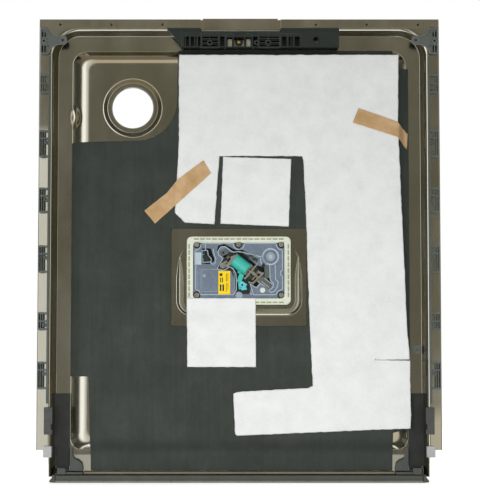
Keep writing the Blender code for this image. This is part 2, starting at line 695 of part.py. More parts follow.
def solenoid():
    """Coil, frame, connector and the plunger, which is drawn in along the coil's axis."""
    half = COIL_LENGTH / 2
    axis = Vector(along_coil(1)) - Vector(along_coil(0))
    coil = rod("solenoid_coil", along_coil(0), COIL_RADIUS, COIL_LENGTH, axis, TEAL, sides=28)
    cut(coil, rod("coil_bore", along_coil(0), 3.6, COIL_LENGTH + 4, axis, sides=20))
    back = (DISP_FLOOR - 2.6, DISP_FLOOR - GAP)
    cut(coil, coil_box("coil_flat", (-20, 20), (-14, 14), (DISP_FLOOR - 3.1, 2)))

    frame = coil_box("solenoid_frame", (-half - 2, half + 16), (-9, 9), back, ZINC)
    join(
        frame,
        coil_box("frame_end_a", (-half - 2, -half - GAP), (-9, 9), (COIL_Y - 8, DISP_FLOOR - 1)),
        coil_box("frame_end_b", (half + GAP, half + 2), (-9, 9), (COIL_Y - 8, DISP_FLOOR - 1)),
        coil_box("frame_end_c", (half + 14.4, half + 16), (-8, 8), (COIL_Y - 6, DISP_FLOOR - 1)),
    )
    cut(frame, rod("frame_bore", along_coil(half + 6), 3.6, 26, axis, sides=20))

    connector = coil_box("solenoid_connector", (2.4, 12), (-13, -COIL_RADIUS - GAP), (COIL_Y - 5, COIL_Y + 3), TEAL)
    tail = [(-1.6, 306.0), (-1.6, 295.0), (1.4, 282.8), (11.6, 285.6), (8.4, 296.4), (9.0, 303.0)]
    join(connector, prism("connector_tail", tail, (COIL_Y - 4, COIL_Y + 2), "Y"))

    plunger = rod("solenoid_plunger", along_coil(half + 5.9), 3.0, 28.6, axis, ZINC, sides=18)
    collar = rod("plunger_collar", along_coil(half + 11.3), 5.2, 1.6, axis, sides=18)
    join(plunger, collar)
    turns, start, length = 3, half + 6.9, 3.0
    axis_y = Vector((0, 1, 0))
    side = axis.cross(axis_y)
    helix = []
    for step in range(turns * 10 + 1):
        angle = 2 * math.pi * step / 10
        centre = Vector(along_coil(start + length * step / (turns * 10)))
        helix.append(centre + 4.2 * (axis_y * math.cos(angle) + side * math.sin(angle)))
    spring = wire("plunger_spring", helix, 0.45, BRASS)

    arm = coil_box("release_arm", (half + 20.5, half + 32), (-6, 6), (COIL_Y - 4, COIL_Y + 4), PALE)
    carry("plunger_axis", along_coil(half), plunger, spring, arm)
    return coil, frame, connector


def release_lever():
    """A crank that turns on its screw and hooks round behind the coil's frame."""
    lever = rod("release_lever", (LEVER_X, -13.0, LEVER_Z), 5.0, 4.0, (0, 1, 0), ZINC, sides=20)
    blade = [(-20.6, 323.4), (-13.6, 333.0), (-10.6, 341.6), (-13.4, 343.2), (-17.4, 334.8), (-26.6, 324.4)]
    join(lever, prism("lever_blade", blade, (-14.4, -12.0), "Y"))
    cut(lever, rod("lever_eye", (LEVER_X, -13.0, LEVER_Z), 2.08, 8, (0, 1, 0), sides=20))
    carry("lever_axis", (LEVER_X, -13.0, LEVER_Z), lever)
    screw = rod("lever_screw", (LEVER_X, -11.6, LEVER_Z), 2.0, 13.0, (0, 1, 0), ZINC, sides=20)
    return join(screw, rod("lever_screw_head", (LEVER_X, -17.2, LEVER_Z), 3.6, 2.4, (0, 1, 0), sides=18))


def dosing_dial():
    dial = rod("dosing_dial", (DIAL_X, -16.0, DIAL_Z), DIAL_RADIUS, 8.0, (0, 1, 0), CLEAR, sides=32)
    join(
        dial,
        rod("dial_hub", (DIAL_X, -9.2, DIAL_Z), 3.4, 6.4, (0, 1, 0), sides=16),
        box("dial_rib", (DIAL_X - 10, DIAL_X + 10), (-21.4, -19), (DIAL_Z - 1, DIAL_Z + 1)),
    )
    carry("dial_axis", (DIAL_X, -16.0, DIAL_Z), dial)
    return dial


def level_sensor():
    sensor = box("level_sensor", (-64.5, -51.5), (-21, DISP_FLOOR - GAP), (323, 341), PALE)
    join(sensor, rod("sensor_eye", (-49.6, -14, 331.6), 4.4, 12, (0, 1, 0), sides=18))
    return sensor


def detergent_lid():
    """Lid over the cup, on knuckles at its outer side, and the catch at its other side."""
    (cup_left, cup_right), (cup_foot, cup_head) = CUP_X, CUP_Z
    back, front = DISP_FACE + GAP, DISP_FACE + 2.6
    hinge_x, hinge_y = cup_left - 6.0, DISP_FACE + 2.2
    lid = prism(
        "detergent_lid",
        rectangle((cup_left + cup_right) / 2 - 1.4, (cup_foot + cup_head) / 2, 29.4, 21.6, 3.0),
        (back, front),
        "Y",
        CREAM,
    )
    knuckle = rod("lid_knuckle", (hinge_x, hinge_y, (cup_foot + cup_head) / 2), 1.8, 40, (0, 0, 1), sides=16)
    join(lid, knuckle, box("lid_lip", (cup_right - 6, cup_right + 1), (front - 0.5, front + 2.2), (287, 304)))
    carry("lid_axis", (hinge_x, hinge_y, (cup_foot + cup_head) / 2), lid)

    catch = box("lid_catch", (0.2, 3.6), (DISP_FACE - 5, DISP_FACE + 4.4), (293, 298), DARK)
    join(catch, box("catch_hook", (-1.9, 3.0), (DISP_FACE + 3.1, DISP_FACE + 4.4), (293, 298)))
    carry("catch_axis", (1.9, DISP_FACE, 295.5), catch)
    return lid


def rinse_aid_cap():
    """Round flap over the filler, hung on a knuckle at its top."""
    back, front = DISP_FACE + GAP, DISP_FACE + 3.0
    knuckle_z = CAP_Z + CAP_RADIUS + 1.6
    cap = rod("rinse_aid_cap", (CAP_X, (back + front) / 2, CAP_Z), CAP_RADIUS, front - back, (0, 1, 0), CREAM, sides=36)
    join(
        cap,
        rod("cap_plug", (CAP_X, DISP_FACE - 0.9, CAP_Z), 10.4, 3.0, (0, 1, 0), sides=28),
        rod("cap_knuckle", (CAP_X, DISP_FACE + 2.1, knuckle_z), 1.7, 16, (1, 0, 0), sides=16),
        box("cap_neck", (CAP_X - 7, CAP_X + 7), (back, front), (knuckle_z - 6, knuckle_z)),
        box("cap_tab", (CAP_X - 6, CAP_X + 6), (back + 0.7, front), (CAP_Z - CAP_RADIUS - 5, CAP_Z - 15)),
    )
    carry("cap_axis", (CAP_X, DISP_FACE + 2.1, knuckle_z), cap)
    return cap


inner_panel()
latch_plate()
latch_bracket()
latch_strike()
latch_rivet()
for side_sign, side_name in ((-1, "left"), (1, "right")):
    for piece_maker in (
        side_trim, corner_bracket, guide_block, hinge_bearing, hinge_arm, hinge_pin, side_pad, foot_bracket,
        rail_clip, rail_cap,
    ):  # fmt: skip
        piece_maker(side_sign, side_name)
screw_tab()
bottom_rail()
lower_seal()
damping_mat()
absorber_sheet()
absorber_square_upper()
absorber_square_lower()
tapes()
dispenser_body()
dispenser_screws()
dispenser_gasket()
dispenser_cover()
dispenser_label()
solenoid()
release_lever()
dosing_dial()
level_sensor()
detergent_lid()
rinse_aid_cap()
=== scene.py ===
"""Looks of a dishwasher's inner door assembly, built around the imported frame.

Points are written in door millimetres, as the design is: x across from the centre line, y in depth (the
outer side faces -y, and the sealing ring's outer face is y = 0), z up from the underside of the bottom rail.
at() turns them into metres in the frame.
"""

import json
import math
import random

import bmesh
import bpy
from mathutils import Matrix, Vector, geometry, noise

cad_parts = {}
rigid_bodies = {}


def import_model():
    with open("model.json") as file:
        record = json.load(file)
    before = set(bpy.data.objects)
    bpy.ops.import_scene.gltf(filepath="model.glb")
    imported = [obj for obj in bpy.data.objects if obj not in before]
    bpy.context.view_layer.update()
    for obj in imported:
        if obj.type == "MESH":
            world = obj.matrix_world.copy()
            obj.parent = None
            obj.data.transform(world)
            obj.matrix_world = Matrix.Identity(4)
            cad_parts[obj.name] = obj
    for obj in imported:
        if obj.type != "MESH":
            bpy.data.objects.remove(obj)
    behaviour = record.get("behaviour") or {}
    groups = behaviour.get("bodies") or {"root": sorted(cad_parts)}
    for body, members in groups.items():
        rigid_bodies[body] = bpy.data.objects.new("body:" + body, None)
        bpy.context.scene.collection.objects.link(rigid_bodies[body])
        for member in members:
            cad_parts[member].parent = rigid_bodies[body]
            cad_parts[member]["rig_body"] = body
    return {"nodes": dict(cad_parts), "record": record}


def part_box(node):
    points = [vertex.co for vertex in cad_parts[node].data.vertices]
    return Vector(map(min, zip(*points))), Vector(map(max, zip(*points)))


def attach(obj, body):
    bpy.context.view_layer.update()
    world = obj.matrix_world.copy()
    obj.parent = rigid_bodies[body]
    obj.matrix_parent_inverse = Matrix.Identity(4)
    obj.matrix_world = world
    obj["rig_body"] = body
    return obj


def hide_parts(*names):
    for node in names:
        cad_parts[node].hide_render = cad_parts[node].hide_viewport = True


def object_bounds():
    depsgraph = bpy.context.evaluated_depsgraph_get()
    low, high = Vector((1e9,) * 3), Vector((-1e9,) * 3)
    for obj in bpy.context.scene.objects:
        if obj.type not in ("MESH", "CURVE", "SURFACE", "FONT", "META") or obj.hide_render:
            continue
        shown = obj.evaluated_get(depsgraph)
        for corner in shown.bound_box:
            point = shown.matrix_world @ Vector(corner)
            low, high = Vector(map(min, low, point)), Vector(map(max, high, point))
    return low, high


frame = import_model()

CAD_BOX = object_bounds()
noise.seed_set(7)  # without it noise_vector differs from run to run
NODES = frame["nodes"]
SLOT_OF = {part["node"]: part["material_slot"] for part in frame["record"]["subparts"]}
MM = 0.001

FLANGE_Y, PLATEAU_Y, SHEET = -17.0, -9.0, 0.8
ZERO = Vector((0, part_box("inner_panel")[0].y - FLANGE_Y * MM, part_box("bottom_rail")[0].z))


def at(x, y, z):
    return ZERO + Vector((x, y, z)) * MM


def door_box(node):
    """A CAD node's lowest and highest corners in door millimetres."""
    return tuple((corner - ZERO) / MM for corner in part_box(node))


(_, _, PANEL_FOOT), (HALF_WIDTH, _, TOP) = door_box("inner_panel")

# ---------------------------------------------------------------- materials


def add(tree, kind, settings=(), **values):
    """A shader node with its properties, its unlinked values and its linked sockets."""
    node = tree.nodes.new(kind)
    for key, value in dict(settings).items():
        setattr(node, key, value)
    for key, value in values.items():
        socket = node.inputs[key.replace("_", " ")]
        if isinstance(value, bpy.types.NodeSocket):
            tree.links.new(value, socket)
        else:
            socket.default_value = value
    return node


def start(name, colour, roughness, metallic=0.0, **values):
    made = bpy.data.materials.new(name)
    made.use_nodes = True
    shader = made.node_tree.nodes["Principled BSDF"]
    shader.inputs["Base Color"].default_value = (*colour, 1.0)
    shader.inputs["Roughness"].default_value = roughness
    shader.inputs["Metallic"].default_value = metallic
    for key, value in values.items():
        shader.inputs[key.replace("_", " ")].default_value = value
    return made, made.node_tree, shader


def grain(tree, scale, stretch=(1, 1, 1), detail=4.0, roughness=0.55):
    """Noise in the frame's own millimetres, finer along an axis the more it is stretched."""
    where = add(tree, "ShaderNodeTexCoord")
    size = add(tree, "ShaderNodeMapping", Vector=where.outputs["Object"], Scale=stretch)
    return add(
        tree, "ShaderNodeTexNoise", Vector=size.outputs[0], Scale=scale, Detail=detail, Roughness=roughness
    ).outputs["Fac"]


def blend_colours(tree, factor, *stops):
    ramp = add(tree, "ShaderNodeValToRGB", Fac=factor)
    keys = ramp.color_ramp.elements
    while len(keys) < len(stops):
        keys.new(0.5)
    for key, (place, colour) in zip(keys, stops):
        key.position = place
        key.color = (*colour, 1.0)
    return ramp.outputs["Color"]


def coloured(tree, shader, factor, *stops):
    """The base colour as a ramp over a factor."""
    tree.links.new(blend_colours(tree, factor, *stops), shader.inputs["Base Color"])


def shade(colour, factor):
    return tuple(min(1.0, part * factor) for part in colour)


def spread(tree, shader, factor, low, high):
    """Lets the roughness wander between two values."""
    change = add(
        tree, "ShaderNodeMapRange", Value=factor, From_Min=0.3, From_Max=0.7, To_Min=low, To_Max=high
    )
    tree.links.new(change.outputs["Result"], shader.inputs["Roughness"])


def roughen(tree, shader, height, strength, distance, under=None):
    """A bump, over another one's normal where there is one."""
    bump = add(tree, "ShaderNodeBump", Height=height, Strength=strength, Distance=distance)
    if under is not None:
        tree.links.new(under, bump.inputs["Normal"])
    tree.links.new(bump.outputs["Normal"], shader.inputs["Normal"])
    return bump.outputs["Normal"]


def stainless():
    made, tree, shader = start("stainless_sheet", (0.62, 0.595, 0.50), 0.16, 1.0)
    rolled = grain(tree, 60, (3, 3, 0.15), 3)
    smudge = grain(tree, 11, (1, 1, 0.5), 5, 0.62)
    coloured(
        tree, shader, smudge,
        (0.3, (0.585, 0.56, 0.46)), (0.5, (0.62, 0.595, 0.50)), (0.72, (0.66, 0.64, 0.56)),
    )
    spread(tree, shader, smudge, 0.12, 0.2)
    roughen(tree, shader, rolled, 0.01, 0.0001)
    return made


def zinc():
    made, tree, shader = start("zinc_plate", (0.66, 0.65, 0.58), 0.34, 1.0)
    cloud = grain(tree, 90, detail=5)
    coloured(tree, shader, cloud, (0.3, (0.50, 0.48, 0.40)), (0.7, (0.78, 0.77, 0.72)))
    spread(tree, shader, grain(tree, 700), 0.24, 0.46)
    roughen(tree, shader, grain(tree, 2200), 0.12, 0.0001)
    return made


def moulded(name, colour, low, high, grit=1800, strength=0.12, streak=0.12, coat=0.0):
    """A plastic moulding: fine tool texture, faint flow clouds, handling marks in its gloss."""
    made, tree, shader = start(name, colour, (low + high) / 2, Coat_Weight=coat, Coat_Roughness=0.25)
    flow = grain(tree, 45, (1, 1, 0.4), 4, 0.6)
    dull, bright = shade(colour, 1 - streak), shade(colour, 1 + streak)
    coloured(tree, shader, flow, (0.28, dull), (0.5, colour), (0.75, bright))
    spread(tree, shader, grain(tree, 130, detail=6), low, high)
    roughen(tree, shader, grain(tree, grit), strength, 0.00015)
    return made


def bitumen():
    made, tree, shader = start("bitumen_mat", (0.038, 0.046, 0.0395), 0.6, Specular_IOR_Level=0.3)
    streaks = grain(tree, 26, (7, 1, 0.12), 3, 0.5)
    cloud = grain(tree, 22, (1, 1, 0.8), 7, 0.72)
    mixed = add(tree, "ShaderNodeMath", {"operation": "MULTIPLY_ADD"}, Value=streaks)
    mixed.inputs[1].default_value = 0.25
    tree.links.new(cloud, mixed.inputs[2])
    coloured(
        tree, shader, mixed.outputs[0],
        (0.42, (0.031, 0.038, 0.0325)), (0.60, (0.038, 0.046, 0.0395)),
        (0.74, (0.044, 0.053, 0.046)), (0.86, (0.058, 0.069, 0.061)),
    )
    spread(tree, shader, grain(tree, 60, (4, 1, 0.3)), 0.5, 0.7)
    coarse = roughen(tree, shader, grain(tree, 300, detail=6, roughness=0.72), 0.4, 0.0005)
    roughen(tree, shader, grain(tree, 1500), 0.3, 0.0002, coarse)
    return made


def felt():
    made, tree, shader = start(
        "white_felt", (0.80, 0.81, 0.80), 0.95, Sheen_Weight=0.25, Sheen_Roughness=0.6, Specular_IOR_Level=0.1
    )
    fibres = grain(tree, 420, (1, 1, 1.6), 8, 0.75)
    cloud = grain(tree, 38, detail=5, roughness=0.6)
    total = add(tree, "ShaderNodeMath", {"operation": "ADD"}, Value=fibres)
    tree.links.new(cloud, total.inputs[1])
    half = add(tree, "ShaderNodeMath", {"operation": "MULTIPLY"}, Value=total.outputs[0])
    half.inputs[1].default_value = 0.5
    coloured(
        tree, shader, half.outputs[0],
        (0.36, (0.74, 0.76, 0.745)), (0.47, (0.80, 0.815, 0.805)), (0.60, (0.85, 0.86, 0.852)),
    )
    soft = roughen(tree, shader, grain(tree, 130, detail=6, roughness=0.7), 0.55, 0.0014)
    roughen(tree, shader, fibres, 0.6, 0.0006, soft)
    return made


def crepe_tape():
    made, tree, shader = start("creped_tape", (0.56, 0.34, 0.155), 0.42, Alpha=0.84, Sheen_Weight=0.1)
    crepe = grain(tree, 900, (1, 1, 1), 5, 0.7)
    cloud = grain(tree, 55, detail=4)
    coloured(
        tree, shader, cloud, (0.3, (0.55, 0.34, 0.15)), (0.55, (0.66, 0.43, 0.22)), (0.8, (0.76, 0.54, 0.30))
    )
    spread(tree, shader, crepe, 0.32, 0.55)
    roughen(tree, shader, crepe, 0.4, 0.0003)
    return made


def smoky_plastic():
    made, tree, shader = start(
        "smoky_cover", (0.19, 0.24, 0.31), 0.2, Alpha=0.86, IOR=1.49, Coat_Weight=0.4, Coat_Roughness=0.15
    )
    cloud = grain(tree, 60, detail=5)
    coloured(tree, shader, cloud, (0.3, (0.165, 0.21, 0.275)), (0.7, (0.22, 0.275, 0.345)))
    spread(tree, shader, grain(tree, 240, detail=5), 0.14, 0.32)
    roughen(tree, shader, grain(tree, 900), 0.08, 0.0002)
    return made


LOOKS = {
    "stainless": stainless(),
    "zinc_steel": zinc(),
    "grey_plastic": moulded("grey_moulding", (0.105, 0.122, 0.114), 0.34, 0.5),
    "dark_plastic": moulded("dark_moulding", (0.016, 0.024, 0.021), 0.3, 0.46),
    "pale_grey_plastic": moulded("pale_moulding", (0.40, 0.42, 0.41), 0.36, 0.52),
    "bitumen": bitumen(),
    "white_felt": felt(),
    "tan_tape": crepe_tape(),
    "cream_plastic": moulded("cream_moulding", (0.72, 0.76, 0.64), 0.28, 0.42, coat=0.15),
    "smoky_cover": smoky_plastic(),
    "teal_plastic": moulded("teal_moulding", (0.055, 0.50, 0.41), 0.28, 0.42, coat=0.2),
    "yellow_label": moulded("label_print", (0.95, 0.66, 0.005), 0.35, 0.5, 2600, 0.06, 0.05),
    "brass": moulded("dull_brass", (0.55, 0.44, 0.20), 0.25, 0.45),
    "rubber": moulded("black_rubber", (0.03, 0.032, 0.03), 0.6, 0.8, strength=0.3),
}
LOOKS["brass"].node_tree.nodes["Principled BSDF"].inputs["Metallic"].default_value = 1.0
# Near-black painted shade, put on hole and recess floors, the latch bracket's downward faces and the linkage
# holes where shade falls.
PAINTED_SHADE = moulded("deep_recess", (0.012, 0.012, 0.01), 0.6, 0.8)
DARK_GREY = moulded("dark_grey_moulding", (0.062, 0.068, 0.064), 0.36, 0.52)
# Painted highlight: a lighter grey for the corner brackets' raised edges, where light catches them.
EDGE_HIGHLIGHT = moulded("worn_grey_edge", (0.20, 0.215, 0.195), 0.34, 0.5)
# Painted highlight: a lighter colour for the latch bracket's ribs, whose pockets stay dark in shade.
LATCH_RIB_HIGHLIGHT = moulded("latch_rib_edges", (0.045, 0.06, 0.056), 0.3, 0.45)
SOFT_BLACK = moulded("soft_black", (0.024, 0.026, 0.024), 0.55, 0.75)
LIP_GREY = moulded("rail_lip_moulding", (0.17, 0.168, 0.142), 0.4, 0.55)
FOOT_BEIGE = moulded("seal_beige", (0.17, 0.158, 0.108), 0.45, 0.6)
RAIL_GREY = moulded("rail_moulding", (0.062, 0.066, 0.055), 0.4, 0.55)
DASHES = moulded("weld_marks", (0.34, 0.34, 0.17), 0.4, 0.6)
# Painted highlights: pale blues for the ridges, rings and lines on the smoky cover, where light catches them.
CLEAR_RIDGE_HIGHLIGHT = moulded("cover_edge", (0.50, 0.585, 0.64), 0.2, 0.35, coat=0.4)
CLEAR_LINE_HIGHLIGHT = moulded("cover_line", (0.30, 0.37, 0.43), 0.2, 0.35, coat=0.4)
# Painted shade: a near-black for the cream dispenser body's cavity walls.
CAVITY_SHADE = moulded("cavity_wall", (0.035, 0.04, 0.042), 0.4, 0.6)
CYAN = moulded("cyan_moulding", (0.12, 0.58, 0.66), 0.28, 0.42, coat=0.2)
SILVER = start("bright_plate", (0.72, 0.72, 0.68), 0.3, 1.0)[0]
INK = moulded("label_ink", (0.02, 0.02, 0.02), 0.4, 0.6)

# ---------------------------------------------------------------- shapes, each a pair of points and faces


def taken(shape):
    """A bmesh's points and faces; the bmesh is freed."""
    shape.verts.index_update()
    points = [tuple(vert.co) for vert in shape.verts]
    made = points, [[vert.index for vert in face.verts] for face in shape.faces]
    shape.free()
    return made


def block(xs, ys, zs, bevel=0.4, segments=2):
    """A box between pairs of x, y and z, with rounded edges."""
    low, high = (Vector(side) for side in zip(*(sorted(pair) for pair in (xs, ys, zs))))
    shape = bmesh.new()
    bmesh.ops.create_cube(shape, size=1.0)
    bmesh.ops.scale(shape, vec=high - low, verts=shape.verts)
    bmesh.ops.translate(shape, vec=(low + high) / 2, verts=shape.verts)
    if bevel:
        bmesh.ops.bevel(
            shape, geom=list(shape.edges), offset=min(bevel, min(high - low) * 0.45), segments=segments,
            profile=0.5, affect="EDGES",
        )
    return taken(shape)


def lathe(centre, profile, axis=(0, -1, 0), steps=36):
    """A closed profile of (radius, height along the axis) turned about an axis."""
    turn = Vector((0, 0, 1)).rotation_difference(Vector(axis)).to_matrix()
    points, faces = [], []
    count = len(profile)
    for step in range(steps):
        angle = 2 * math.pi * step / steps
        for radius, height in profile:
            reach = max(radius, 0.01)
            spot = turn @ Vector((reach * math.cos(angle), reach * math.sin(angle), height))
            points.append(tuple(Vector(centre) + spot))
    for step in range(steps):
        here, there = step * count, (step + 1) % steps * count
        for i in range(count):
            j = (i + 1) % count
            faces.append([here + i, here + j, there + j, there + i])
    return points, faces


def disc(x, z, radius, ys, bevel=0.3, hole=0.01, axis=(0, -1, 0), steps=32):
    """A washer or a peg with rounded rims, between two depths."""
    depth = abs(ys[1] - ys[0])
    edge = min(bevel, depth * 0.4, (radius - hole) * 0.45)
    turns = (0, 0.52, 1.05, 1.57)
    rim = [(radius - edge * (1 - math.sin(a)), depth - edge * (1 - math.cos(a))) for a in turns]
    profile = [(hole, 0), (radius - edge, 0), (radius, edge), *reversed(rim), (hole, depth)]
    return lathe((x, max(ys), z), profile, axis, steps)


def add_line(curve, points, closed):
    spline = curve.splines.new("POLY")
    spline.points.add(len(points) - 1)
    spline.use_cyclic_u = closed
    for point, spot in zip(spline.points, points):
        point.co = (*spot, 1)


def meshed(curve):
    """A curve's own mesh as a bmesh."""
    holder = bpy.data.objects.new("curve", curve)
    bpy.context.scene.collection.objects.link(holder)
    bpy.context.view_layer.update()
    mesh = bpy.data.meshes.new_from_object(holder.evaluated_get(bpy.context.evaluated_depsgraph_get()))
    bpy.data.objects.remove(holder)
    shape = bmesh.new()
    shape.from_mesh(mesh)
    bmesh.ops.remove_doubles(shape, verts=shape.verts, dist=0.001)
    return shape


def slab(loops, ys, bevel=0.3, segments=2):
    """Outlines of (x, z), the first the outer one and the rest holes, as a plate with rounded edges."""
    curve = bpy.data.curves.new("slab", "CURVE")
    curve.dimensions = "2D"
    curve.fill_mode = "BOTH"
    curve.extrude = abs(ys[1] - ys[0]) / 2 - bevel
    curve.bevel_depth = bevel
    curve.bevel_resolution = segments - 1
    curve.offset = -bevel
    for points in loops:
        add_line(curve, [(x, z, 0) for x, z in points], True)
    shape = meshed(curve)
    upright = Matrix(((1, 0, 0), (0, 0, -1), (0, 1, 0))).to_4x4()
    bmesh.ops.transform(shape, matrix=upright, verts=shape.verts)
    bmesh.ops.translate(shape, vec=(0, sum(ys) / 2, 0), verts=shape.verts)
    bmesh.ops.recalc_face_normals(shape, faces=shape.faces)
    return taken(shape)


def tube(points, radius, closed=False):
    """A wire or a raised line along points."""
    curve = bpy.data.curves.new("tube", "CURVE")
    curve.dimensions = "3D"
    curve.bevel_depth = radius
    curve.bevel_resolution = 2
    curve.use_fill_caps = not closed
    add_line(curve, points, closed)
    shape = meshed(curve)
    bmesh.ops.recalc_face_normals(shape, faces=shape.faces)
    return taken(shape)


def turned_to(shape, angle, centre):
    """A shape turned about an axis in depth through a point, by degrees."""
    turn = Matrix.Rotation(math.radians(angle), 3, Vector((0, 1, 0)))
    points, faces = shape
    return [tuple(Vector(centre) + turn @ (Vector(p) - Vector(centre))) for p in points], faces


def from_cad(node, bevel=0.3):
    """A CAD node's own shape with its edges rounded."""
    source = NODES[node].data
    shape = bmesh.new()
    verts = [shape.verts.new((v.co - ZERO) / MM) for v in source.vertices]
    for face in source.polygons:
        shape.faces.new([verts[i] for i in face.vertices])
    bmesh.ops.remove_doubles(shape, verts=shape.verts, dist=0.002)
    bmesh.ops.dissolve_limit(shape, angle_limit=math.radians(1.5), verts=shape.verts, edges=shape.edges)
    if bevel:
        sharp = math.radians(35)
        edges = [e for e in shape.edges if len(e.link_faces) == 2 and e.calc_face_angle() > sharp]
        bmesh.ops.bevel(
            shape, geom=edges, offset=bevel, segments=2, profile=0.5, affect="EDGES", clamp_overlap=True
        )
    return taken(shape)


def merged(shapes):
    """All the shapes' points, in metres in the frame, and their faces."""
    points, faces = [], []
    for shape_points, shape_faces in shapes:
        first = len(points)
        points += [at(*p) for p in shape_points]
        faces += [[first + i for i in face] for face in shape_faces]
    return points, faces


def sharpen(piece, smooth):
    """Smooth shading between sharp edges, in which flat faces stay flat."""
    piece.data.shade_smooth()
    piece.data.set_sharp_from_angle(angle=math.radians(smooth))
    flat = piece.modifiers.new("flat_faces", "WEIGHTED_NORMAL")
    flat.keep_sharp = True
    flat.weight = 90


def make(name, shapes, slot, body="door", replaced=(), smooth=38, look=None):
    """One visible piece of one or more shapes."""
    mesh = bpy.data.meshes.new(name)
    points, faces = merged(shapes)
    mesh.from_pydata(points, [], faces)
    mesh.validate()
    mesh.materials.append(look or LOOKS[slot])
    piece = bpy.data.objects.new(name, mesh)
    bpy.context.scene.collection.objects.link(piece)
    sharpen(piece, smooth)
    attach(piece, body)
    if replaced:
        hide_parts(*replaced)
    return piece


def detailed(node, *shapes, bevel=0.3, look=None):
    """A CAD node's shape with rounded edges, and more shapes on it, in the node's own material unless another
    look is given.
    """
    body = NODES[node]["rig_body"]
    return make(f"{node}_part", [from_cad(node, bevel), *shapes], SLOT_OF[node], body, [node], look=look)


def arc(x, z, radius, start_angle, end_angle, steps):
    angles = (math.radians(start_angle + (end_angle - start_angle) * i / steps) for i in range(steps + 1))
    return [(x + radius * math.cos(a), z + radius * math.sin(a)) for a in angles]


def rounded(points, radii, steps=5, closed=True):
    """The corners of an outline made arcs; radii is one radius or one for each corner."""
    made = []
    count = len(points)
    for i, corner in enumerate(points):
        radius = radii if isinstance(radii, (int, float)) else radii[i]
        if radius <= 0 or (not closed and i in (0, count - 1)):
            made.append(tuple(corner))
            continue
        here = Vector(corner)
        before = Vector(points[i - 1]) - here
        after = Vector(points[(i + 1) % count]) - here
        half_angle = before.angle(after) / 2
        room = []
        for side, end in ((before, (i - 1) % count), (after, (i + 1) % count)):
            shared = (radii if isinstance(radii, (int, float)) else radii[end]) > 0
            room.append(side.length / (2.01 if shared and (closed or end not in (0, count - 1)) else 1.01))
        reach = min(radius / math.tan(half_angle), *room)
        bend = reach * math.tan(half_angle)
        centre = here + (before.normalized() + after.normalized()).normalized() * bend / math.sin(half_angle)
        first = here + before.normalized() * reach - centre
        turn = first.angle_signed(here + after.normalized() * reach - centre)
        for step in range(steps + 1):
            cos, sin = math.cos(-turn * step / steps), math.sin(-turn * step / steps)
            made.append((centre.x + first.x * cos - first.y * sin, centre.y + first.x * sin + first.y * cos))
    return made


def rectangle(x, z, half_w, half_h, radius, steps=5):
    left, right, foot, head = x - half_w, x + half_w, z - half_h, z + half_h
    return rounded([(left, foot), (right, foot), (right, head), (left, head)], radius, steps)


def front_loops(node):
    """The outlines of a flat CAD node's front face, the longest first, in (x, z)."""
    source = NODES[node].data
    spots = [(v.co - ZERO) / MM for v in source.vertices]
    front = min(spot.y for spot in spots)
    found = {}

    def key(i):
        return (round(spots[i].x, 2), round(spots[i].z, 2))

    for face in source.polygons:
        if all(abs(spots[i].y - front) < 0.05 for i in face.vertices):
            ring = [key(i) for i in face.vertices]
            for pair in zip(ring, ring[1:] + ring[:1]):
                if (pair[1], pair[0]) in found:
                    del found[(pair[1], pair[0])]
                else:
                    found[pair] = True
    follow = dict(found.keys())
    loops = []
    while follow:
        first = next(iter(follow))
        loop = [first]
        while follow.get(loop[-1]) is not None:
            step = follow.pop(loop[-1])
            if step == first:
                break
            loop.append(step)
        loops.append(loop)
    return sorted(loops, key=length_of, reverse=True)


def length_of(loop):
    return sum(math.dist(a, b) for a, b in zip(loop, loop[1:] + loop[:1]))


def resampled(loop, spacing):
    made = []
    for a, b in zip(loop, loop[1:] + loop[:1]):
        count = max(1, round(math.dist(a, b) / spacing))
        made += [(a[0] + (b[0] - a[0]) * i / count, a[1] + (b[1] - a[1]) * i / count) for i in range(count)]
    return made


def inside(x, z, loop):
    result = False
    for (ax, az), (bx, bz) in zip(loop, loop[1:] + loop[:1]):
        if (az > z) != (bz > z) and x < (bx - ax) * (z - az) / (bz - az) + ax:
            result = not result
    return result


def smooth_step(low, high, value):
    share = min(1.0, max(0.0, (value - low) / (high - low)))
    return share * share * (3 - 2 * share)


# ---------------------------------------------------------------- the pressed steel panel

STEP_HALF, STEP_TOP, STEP_RADIUS, STEP_RUN = 278.5, 673.4, 40.0, 6.5
WELL_HALF, WELL_TOP, WELL_FOOT = 250.0, 643.5, 48.0
WELL_RUN_SIDE, WELL_RUN_TOP = 28.0, 20.5
WALL_HEAD, WALL_BEND = 16.0, 40.0  # where the wall would meet the raised panel, and the bend's radius
APRON_TOP, APRON_FOOT, APRON_DROP = 40.0, PANEL_FOOT - 3.0, 3.6
FLANGE_FOOT, FLANGE_CUT, FLANGE_RADIUS, WING_TILT = 48.0, 280.5, 4.0, 1.9
VENT_X, VENT_Z, VENT_RADIUS = -159.2, 556.5, 31.15
BOSS_FOOT, BOSS_HEAD, BOSS_RISE = 43.8, 37.6, 3.6
DENT_X, DENT_Z, DENT_HALF, DENT_TALL, DENT_DEPTH = -245.0, 544.0, 9.5, 19.0, 3.6
BEAD_HALF, BEAD_HEAD, BEAD_FOOT, BEAD_RADIUS, BEAD_WIDTH, BEAD_RISE = 88.2, 333.0, 250.6, 18.0, 11.0, 2.6
WELL_PROFILE = [(-9, 0), (-6, 0), (-3.5, 0)] + rounded(
    [(-2, 0), (0, 0), *((WALL_HEAD * i / 8, PLATEAU_Y * i / 8) for i in range(1, 4)), (WALL_HEAD, PLATEAU_Y),
     (WELL_RUN_SIDE + 1, PLATEAU_Y)],
    [0, 2.0, 0, 0, 0, WALL_BEND, 0], 12, False,
)


